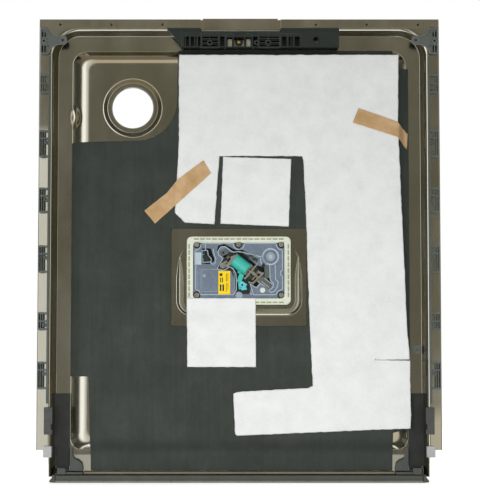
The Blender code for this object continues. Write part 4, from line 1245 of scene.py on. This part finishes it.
COVER_RIDGES = (
    [(-54.9, 352.3), (-8.6, 352.3)],
    [(7.7, 352.3), (54.4, 352.7)],
    [(-56.8, 351.5), (-57.3, 346.8), (-59.9, 343.7), (-64.2, 342.4)],
    [(54.7, 352.2), (55.6, 347.4), (58.7, 343.7), (63.8, 342.8)],
    [(-8.8, 352.0), (-8.0, 347.7), (-4.3, 344.0), (-0.4, 343.1), (3.5, 344.0), (6.8, 347.7), (7.7, 352.0)],
    [(-50.0, 351.5), (-50.0, 342.8)],
    [(-38.3, 344.3), (-37.8, 339.3), (-36.8, 334.2), (-35.0, 331.7), (-35.8, 322.3), (-40.5, 321.6),
     (-42.2, 325.1)],
    [(-55.3, 341.6), (-46.9, 342.3), (-45.7, 334.7), (-41.0, 329.5), (-42.0, 325.1), (-51.8, 324.5)],
    [(-25.9, 332.2), (-30.2, 334.7), (-31.6, 340.3), (-27.1, 347.5), (-20.5, 347.7), (-8.6, 339.3),
     (-2.4, 340.3), (6.2, 339.3), (31.6, 332.6), (34.6, 334.2), (37.1, 337.5)],
    [(-25.9, 332.2), (-24.9, 328.5), (-27.4, 323.9), (-32.6, 315.9), (-30.6, 313.4), (-23.4, 312.4),
     (-13.8, 317.7), (-8.6, 314.4), (-5.1, 307.5), (-4.2, 301.0), (-4.2, 283.1), (-8.6, 277.0)],
    [(45.1, 321.1), (45.8, 298.6), (50.5, 293.4), (49.7, 287.2), (45.8, 284.0), (39.6, 288.4)],
    [(53.2, 321.1), (53.9, 299.1), (57.6, 295.4), (56.6, 288.4), (51.9, 281.3), (46.8, 279.8), (43.3, 282.5)],
    [(16.1, 292.6), (25.3, 286.7), (30.9, 293.1), (39.6, 288.4)],
    [(16.1, 292.6), (21.1, 276.3), (54.4, 276.6), (56.6, 281.3), (64.0, 284.7)],
    [(-64.6, 315.9), (-64.2, 284.4), (-59.5, 282.3), (-56.8, 276.6), (-8.6, 276.6)],
    [(31.6, 330.7), (32.8, 320.8), (35.9, 322.1), (39.6, 321.1)],
    [(64.0, 342.8), (64.0, 312.8), (61.2, 310.9), (61.2, 306.0), (64.0, 303.8), (64.0, 284.7)],
    [(-64.6, 341.8), (-65.4, 339.3), (-65.2, 320.8), (-63.0, 317.1), (-64.6, 315.9)],
)
FAINT_RIDGES = (
    [(-56.2, 314.0), (-31.5, 314.0)],
    [(-56.2, 314.0), (-56.2, 281.3), (-32.1, 281.3)],
    [(-8.6, 310.9), (-6.7, 303.5), (-6.7, 285.0), (-10.5, 279.4)],
    [(-62.3, 312.8), (-62.0, 285.6)],
    [(8.7, 337.5), (29.7, 330.9)],
)


def raised(lines, depth, radius):
    """Raised lines along (x, z) points, with their bends made round."""
    made = []
    for line in lines:
        route = rounded(line, 1.2, 3, False) if len(line) > 2 else line
        made.append(tube([(x, depth, z) for x, z in route], radius))
    return made


def bar(start_point, end_point, width, ys, bevel=0.3):
    """A flat bar between two points of the door's face."""
    ax, az = start_point
    bx, bz = end_point
    x, z = (ax + bx) / 2, (az + bz) / 2
    half, angle = math.dist(start_point, end_point) / 2, math.degrees(math.atan2(bz - az, bx - ax))
    shape = block((x - half, x + half), ys, (z - width / 2, z + width / 2), bevel)
    return turned_to(shape, -angle, (x, sum(ys) / 2, z))


# What the dispenser's cover carries. A bar is its two ends, its width, how far it stands out before the
# cover's face, how far it reaches in behind it, and the rounding of its edges.
COVER_PATCHES = (
    [(5.2, 338.9), (31.6, 332.2), (34.0, 333.9), (37.4, 336.9), (45.5, 321.1), (37.1, 319.6), (30.9, 318.3),
     (24.1, 321.8), (21.1, 324.5)],
    [(-31.3, 340.1), (-27.1, 347.1), (-20.5, 347.4), (-8.6, 339.1), (-13.5, 337.5), (-16.6, 340.3),
     (-27.1, 336.6), (-26.1, 332.4), (-30.1, 334.9)],
    [(16.4, 292.2), (25.3, 286.5), (30.9, 292.9), (39.6, 288.2), (47.0, 280.3), (54.4, 276.8), (21.3, 276.6)],
)
LENS_BARS = (
    (-49.4, 335.6, -42.9, 327.0, 4.6, 0.7, 1, 0.3),
    (-52.5, 327.6, -43.2, 326.7, 3.0, 0.7, 1, 0.3),
)
COIL_SHADOWS = (
    (-31.8, 315.6, -18.5, 330.7, 5.5, 0.2, 1, 0.3),
    (-16.6, 337.5, -6.7, 335.4, 5.0, 0.2, 1, 0.3),
    (34.6, 322.1, 41.4, 313.4, 5.0, 0.6, 1, 0.3),
    (-1.2, 306.0, 1.3, 277.6, 5.0, -0.6, 2, 0.3),  # the pit's slab is next
    (11.2, 298.6, 17.3, 301.0, 5.6, 2.4, 0, 0.3),
    (22.3, 312.8, 27.8, 315.9, 6.2, 2.2, 0, 0.3),
    (8.7, 334.2, 19.8, 333.2, 4.2, 0.3, 1, 0.3),
    (19.8, 330.7, 27.2, 327.0, 5.0, 0.3, 1, 0.3),
)
LINKAGE_BLOCKS = (
    (-27.7, 336.9, -16.6, 340.8, 8.0, 1.4, 1, 0.6),  # the post is next
    (11.2, 335.0, 23.5, 330.1, 1.2, 1.6, 0, 0.3),
    (23.5, 335.0, 13.6, 328.2, 1.2, 1.6, 0, 0.3),
    (21.1, 325.8, 28.5, 330.7, 1.2, 1.6, 0, 0.3),
    (30.9, 301.0, 47.0, 288.1, 9.5, 0.9, 1, 0.6),
)
LINKAGE_STRIPES = (
    (37.1, 301.0, 48.9, 291.8, 1.3, 1.6, -0.5, 0.3),
    (32.8, 296.1, 44.3, 287.2, 1.3, 1.6, -0.5, 0.3),
    (15.9, 279.4, 18.8, 276.6, 2.2, 0.8, 0.4, 0.3),
)
COIL_BRACKETS = (
    (-18.5, 317.7, -5.5, 334.2, 4.6, 1.9, -0.6, 0.3),
    (-12.1, 329.7, -9.1, 332.9, 3.4, 2.8, -1.6, 0.3),
    (-15.0, 320.6, -12.1, 323.5, 2.8, 2.8, -1.6, 0.3),
    (-25.9, 321.1, -17.9, 325.8, 3.4, 1.6, -0.5, 0.3),
    (8.1, 299.2, 27.2, 322.3, 2.2, 2.4, -1.0, 0.3),
    (19.8, 292.6, 35.9, 309.1, 2.4, 2.2, -0.8, 0.3),
    (18.8, 309.9, 24.1, 306.0, 4.0, 1.8, -0.5, 0.3),
    (27.8, 310.9, 35.6, 306.0, 3.4, 1.6, -0.3, 0.3),
    (13.6, 294.9, 21.1, 293.6, 2.4, 1.6, -0.5, 0.3),
)
CONNECTOR_BODY = (
    (0.7, 293.6, 9.9, 288.1, 8.4, 4.0, -0.5, 0.6),
    (3.1, 284.4, 11.2, 285.6, 3.6, 3.0, -0.5, 0.5),
)
CONNECTOR_ARM = (
    (4.0, 307.2, -0.4, 294.9, 7.0, 1.6, -0.2, 0.8),
    (-0.4, 301.0, 1.5, 284.4, 4.2, 1.4, -0.2, 0.6),
)
LABEL_MARKS = (  # left, right, foot and head, as shares of the label
    (0.10, 0.34, 0.78, 0.90), (0.12, 0.26, 0.14, 0.42), (0.34, 0.48, 0.14, 0.42), (0.14, 0.22, 0.5, 0.72),
    (0.30, 0.38, 0.5, 0.72), (0.66, 0.70, 0.55, 0.90), (0.78, 0.82, 0.55, 0.9), (0.66, 0.70, 0.1, 0.48),
    (0.78, 0.82, 0.2, 0.48),
)


def dispenser_front():
    """What shows on the dispenser's rear cover: raised lines, the dial, the label and the coil's fittings."""
    face = door_box("dispenser_cover")[0].y

    def bars(rows):
        return [
            bar((ax, az), (bx, bz), width, (face - out, face + behind), edge)
            for ax, az, bx, bz, width, out, behind, edge in rows
        ]

    def ring(x, z, radius, thick, out, turn=(0, 350, 35), closed=True):
        return tube([(px, face - out, pz) for px, pz in arc(x, z, radius, *turn)], thick, closed)

    def peg(x, z, radius, out, behind, *more, **others):
        return disc(x, z, radius, (face + behind, face - out), *more, **others)

    # Painted highlights: the ridges, lines, dial rings and rim, the half boss and the sensor socket take the
    # pale colours that stand for light on the smoky cover.
    make("cover_ridges", raised(COVER_RIDGES, face + 0.1, 0.62), "smoky_cover", look=CLEAR_RIDGE_HIGHLIGHT)
    lines = raised(FAINT_RIDGES, face + 0.2, 0.45)
    make("cover_lines", [*lines, peg(-51.8, 304.5, 2.5, 0.5, 0.4, 0.3)], "smoky_cover", look=CLEAR_LINE_HIGHLIGHT)
    dial = (46.4, 332.8)
    rings = [ring(*dial, *sizes, 0.1) for sizes in ((12.2, 0.75), (10.6, 0.5), (6.0, 0.6), (4.6, 0.4))]
    make("dial_rings", [*rings, peg(*dial, 5.6, 0.4, 0.4, 0.3)], "smoky_cover", look=CLEAR_LINE_HIGHLIGHT)
    patches = [slab([patch], (face + 0.05, face + 1.3), 0.3) for patch in COVER_PATCHES]
    make("cover_patches", patches, "smoky_cover")
    rim = ring(*dial, 11.6, 0.9, 0.4, (-120, 160, 30), False)
    make("dial_rim", [rim, peg(*dial, 2.4, 1.0, 0.4, 0.4, 0.9)], "smoky_cover", look=CLEAR_RIDGE_HIGHLIGHT)
    make("cover_boss", [peg(34.6, 283.1, 3.9, 0.6, 0.4, 0.5)], "smoky_cover", look=LOOKS["cream_plastic"])
    make("cover_half_boss", [peg(-0.4, 275.6, 5.4, 0.3, 2, 0.5)], "smoky_cover", look=CLEAR_LINE_HIGHLIGHT)

    socket = block((-64.8, -55.8), (face - 0.8, face + 3), (320.8, 339.1), 0.7)
    nut = peg(-61.1, 330.5, 4.0, 1.4, 0, 0.4, steps=6)
    make("sensor_socket", [socket, nut], "smoky_cover", look=CLEAR_RIDGE_HIGHLIGHT)
    heads = [340.8 - 3.3 * i for i in range(5)]
    seal = [block((-55.1, -54.1), (face - 1.2, face), (head - 2.4, head), 0.2) for head in heads]
    make("sensor_seal", seal, "teal_plastic")
    lens = [peg(-50.4, 332.6, 3.5, 1.5, 1, 0.9)]
    lens.append(block((-53.7, -47.5), (face - 0.9, face + 1), (337.5, 341.1), 0.5))
    make("sensor_lens", lens + bars(LENS_BARS), "dark_plastic")

    corners = [(-2.4, 306.0), (6.2, 301.0), (17.3, 291.2), (21.3, 275.1), (-2.4, 272.9)]
    pit = slab([corners], (face + 0.4, face + 1.6), 0.3)
    shadows = bars(COIL_SHADOWS)
    make("coil_shadows", [*shadows[:4], pit, *shadows[4:]], "dark_plastic")
    post = block((37.4, 44.3), (face - 0.7, face + 1), (301.0, 319.3), 0.4)
    first, *others = bars(LINKAGE_BLOCKS)
    make("linkage_blocks", [first, post, *others], "grey_plastic")
    # Painted shade: the holes are near-black pegs.
    holes = [peg(-23.7, 338.4, 1.5, 1.7, -1.2, 0.1), peg(4.4, 290.7, 1.5, 4.3, -3.6, 0.1)]
    make("linkage_holes", holes, "dark_plastic", look=PAINTED_SHADE)
    make("linkage_stripes", bars(LINKAGE_STRIPES), "pale_grey_plastic")
    make("coil_brackets", bars(COIL_BRACKETS), "zinc_steel", look=SILVER)
    screw = (-24.0, 319.6)
    head = [peg(*screw, 4.3, 1.9, 0, 0.6, 1.1), peg(*screw, 1.0, 1.2, 0, 0.2)]
    make("lever_screw_head", head, "zinc_steel", look=SILVER)
    coils = []
    for i in range(8):
        x, z = 24.1 + 7.1 * i / 7, 297.1 + 7.4 * i / 7
        coils.append(bar((x - 1.4, z - 1.2), (x + 1.4, z + 1.2), 0.55, (face - 2.6, face - 1.2), 0.2))
    make("return_spring", coils, "brass")
    make("connector_body", bars(CONNECTOR_BODY), "teal_plastic", look=CYAN)
    make("connector_arm", bars(CONNECTOR_ARM), "teal_plastic")

    low, high = door_box("dispenser_label")
    width, height = high.x - low.x, high.z - low.z
    inks = []
    for left, right, foot, head in LABEL_MARKS:
        xs = (low.x + width * left, low.x + width * right)
        zs = (low.z + height * foot, low.z + height * head)
        inks.append(block(xs, (low.y - 0.06, low.y + 0.05), zs, 0))
    make("label_marks", inks, "yellow_label", look=INK)


def mechanism():
    """The dispenser's screws, coil and other small CAD pieces with their edges rounded."""
    for i in range(1, 7):
        low, high = door_box(f"dispenser_screw_{i}")
        x, z = (low.x + high.x) / 2, (low.z + high.z) / 2
        radius = (high.x - low.x) / 2
        ring = disc(x, z, radius * 0.98, (low.y + 0.4, low.y - 0.35), 0.3, radius * 0.62, steps=28)
        slot = block((x - 0.5, x + 0.5), (low.y - 0.25, low.y + 0.3), (z - 2.0, z + 2.0), 0.1)
        star = [turned_to(slot, angle, (x, low.y, z)) for angle in (20, 110)]
        detailed(f"dispenser_screw_{i}", ring, *star, bevel=0.25)
    for node in (
        "dispenser_gasket", "solenoid_frame", "solenoid_connector", "solenoid_plunger", "release_arm",
        "release_lever", "lever_screw", "level_sensor", "lid_catch",
    ):
        detailed(node)
    detailed("plunger_spring", bevel=0)
    low, high = door_box("solenoid_coil")
    middle = (low + high) / 2
    flange = [(10.0, 12.7), (10.6, 12.2), (10.6, 11.2), (10.2, 10.8)]
    jacket = [(0.01, -12.7), *((radius, -along) for radius, along in flange), *reversed(flange), (0.01, 12.7)]
    coil = lathe((middle.x - 0.3, middle.y, middle.z - 0.5), jacket, (0.798636, 0, -0.601815), 48)
    make("coil_jacket", [coil], "teal_plastic", replaced=["solenoid_coil"])
    detailed("dispenser_cover")
    detailed("dispenser_label", bevel=0.1)
    detailed("dosing_dial", bevel=0.4)
    detailed("detergent_lid", bevel=0.7)
    detailed("rinse_aid_cap", bevel=0.6)


# ---------------------------------------------------------------- floor, light and camera


def stage_floor():
    """A pale floor that neither lights the steel nor shows in it."""
    mesh = bpy.data.meshes.new("floor")
    size, level = 14.0, CAD_BOX[0].z - 0.0005
    corners = [(-size, -size, level), (size, -size, level), (size, size, level), (-size, size, level)]
    mesh.from_pydata(corners, [], [[0, 1, 2, 3]])
    floor = bpy.data.objects.new("floor", mesh)
    bpy.context.scene.collection.objects.link(floor)
    glow = {"Emission_Color": (1, 1, 1, 1), "Emission_Strength": 0.62}
    mesh.materials.append(start("floor_paint", (0.93, 0.93, 0.925), 0.9, Specular_IOR_Level=0.0, **glow)[0])
    floor.visible_diffuse = False
    floor.visible_glossy = False


WHITE, PALE, BEIGE, AMBER = (1.5, 1.5, 1.5), (0.8, 0.8, 0.78), (0.72, 0.68, 0.58), (0.66, 0.60, 0.47)
AHEAD_DARK, FAR_DARK, UNDER_DARK = (0.128, 0.122, 0.094), (0.06, 0.06, 0.045), (0.10, 0.09, 0.065)


def mix(tree, factor, first, second, blend="MIX"):
    """One colour over another; each input is a socket or a value."""
    node = add(tree, "ShaderNodeMix", {"data_type": "RGBA", "blend_type": blend})
    for index, value in ((0, factor), (6, first), (7, second)):
        if isinstance(value, bpy.types.NodeSocket):
            tree.links.new(value, node.inputs[index])
        else:
            node.inputs[index].default_value = value
    return node.outputs[2]


def world():
    """A bright room to matt surfaces; to polished ones dark ahead, white at the left and beige above."""
    made = bpy.data.worlds.new("studio")
    made.use_nodes = True
    tree = made.node_tree
    tree.nodes.clear()
    where = add(tree, "ShaderNodeTexCoord")
    axes = add(tree, "ShaderNodeSeparateXYZ", Vector=where.outputs["Generated"])

    def band(axis, *stops):
        half = add(tree, "ShaderNodeMapRange", Value=axes.outputs[axis], From_Min=-1.0, From_Max=1.0)
        return blend_colours(tree, half.outputs["Result"], *[((p + 1) / 2, c) for p, c in stops])

    def across(low, high):
        kind = {"interpolation_type": "SMOOTHSTEP"}
        ease = add(tree, "ShaderNodeMapRange", kind, Value=axes.outputs["Y"], From_Min=low, From_Max=high)
        return ease.outputs["Result"]

    side = band(
        "X", (-1.0, WHITE), (-0.40, WHITE), (-0.34, (0.85, 0.85, 0.84)), (-0.22, PALE), (-0.175, AHEAD_DARK),
        (0.20, AHEAD_DARK), (0.28, BEIGE), (1.0, BEIGE),
    )
    rise = band(
        "Z", (-1.0, UNDER_DARK), (-0.55, UNDER_DARK), (-0.40, (0.52, 0.53, 0.50)),
        (-0.20, (0.56, 0.57, 0.54)), (-0.13, AHEAD_DARK), (0.215, AHEAD_DARK), (0.235, (0.20, 0.185, 0.14)),
        (0.32, AMBER), (1.0, AMBER),
    )
    far = band(
        "Z", (-1.0, (1.4, 1.4, 1.4)), (-0.90, (1.4, 1.4, 1.4)), (-0.85, FAR_DARK), (0.35, FAR_DARK),
        (0.7, (0.23, 0.195, 0.14)), (1.0, (0.24, 0.205, 0.145)),
    )
    front = mix(tree, 1.0, side, rise, "LIGHTEN")
    gloss = mix(tree, across(0.3, 0.6), mix(tree, across(-0.79, -0.71), front, far), (0.30, 0.30, 0.28, 1))
    path = add(tree, "ShaderNodeLightPath")
    matt = mix(tree, path.outputs["Is Glossy Ray"], (0.44, 0.44, 0.435, 1), gloss)
    seen = mix(tree, path.outputs["Is Camera Ray"], matt, (1, 1, 1, 1))
    back = add(tree, "ShaderNodeBackground", Color=seen)
    out = add(tree, "ShaderNodeOutputWorld")
    tree.links.new(back.outputs[0], out.inputs[0])
    made.cycles.sampling_method = "NONE"
    bpy.context.scene.world = made


def area_light(name, place, aim, size, power):
    lamp = bpy.data.lights.new(name, "AREA")
    lamp.shape = "RECTANGLE"
    lamp.size, lamp.size_y = size
    lamp.energy = power
    holder = bpy.data.objects.new(name, lamp)
    bpy.context.scene.collection.objects.link(holder)
    holder.location = place
    holder.rotation_euler = (Vector(aim) - Vector(place)).to_track_quat("-Z", "Y").to_euler()
    holder.visible_glossy = False


def lights():
    area_light("key", (-0.5, -1.15, 0.08), (0, 0, 0.05), (0.8, 0.3), 5.0)
    area_light("fill", (1.2, -1.5, 0.6), (0, 0, 0.1), (1.2, 0.8), 2.4)
    area_light("low", (0.0, -0.9, -0.03), (0, 0, -0.03), (1.2, 0.3), 5.4)
    area_light("rear", (0.6, 2.0, 1.3), (0, 0, 0.3), (1.4, 1.4), 10)


def camera():
    """Just below the door's middle, looking slightly up, as far away as it was seen."""
    low, high = CAD_BOX
    distance, drop, seen, film = 2.5, 0.18, 0.7402, 24.0
    aim = Vector((0.0012, 0.0, (low.z + high.z) / 2 - 0.0024))
    lens = bpy.data.cameras.new("camera")
    lens.sensor_fit = "VERTICAL"
    lens.sensor_height = film
    lens.sensor_width = film
    lens.lens = film / seen * math.hypot(distance, drop)
    eye = bpy.data.objects.new("camera", lens)
    bpy.context.scene.collection.objects.link(eye)
    eye.location = (aim.x, -distance, aim.z - drop)
    eye.rotation_euler = (aim - eye.location).to_track_quat("-Z", "Y").to_euler()
    bpy.context.scene.camera = eye


inner_panel()
top_hems()
damping_mat()
absorber_sheet()
absorber_squares()
tapes()
side_trims()
corner_brackets()
latch()
hinge_corners()
bottom_rail()
dispenser()
mechanism()
dispenser_front()
stage_floor()
world()
lights()
camera()
bpy.context.scene.view_settings.view_transform = "Standard"
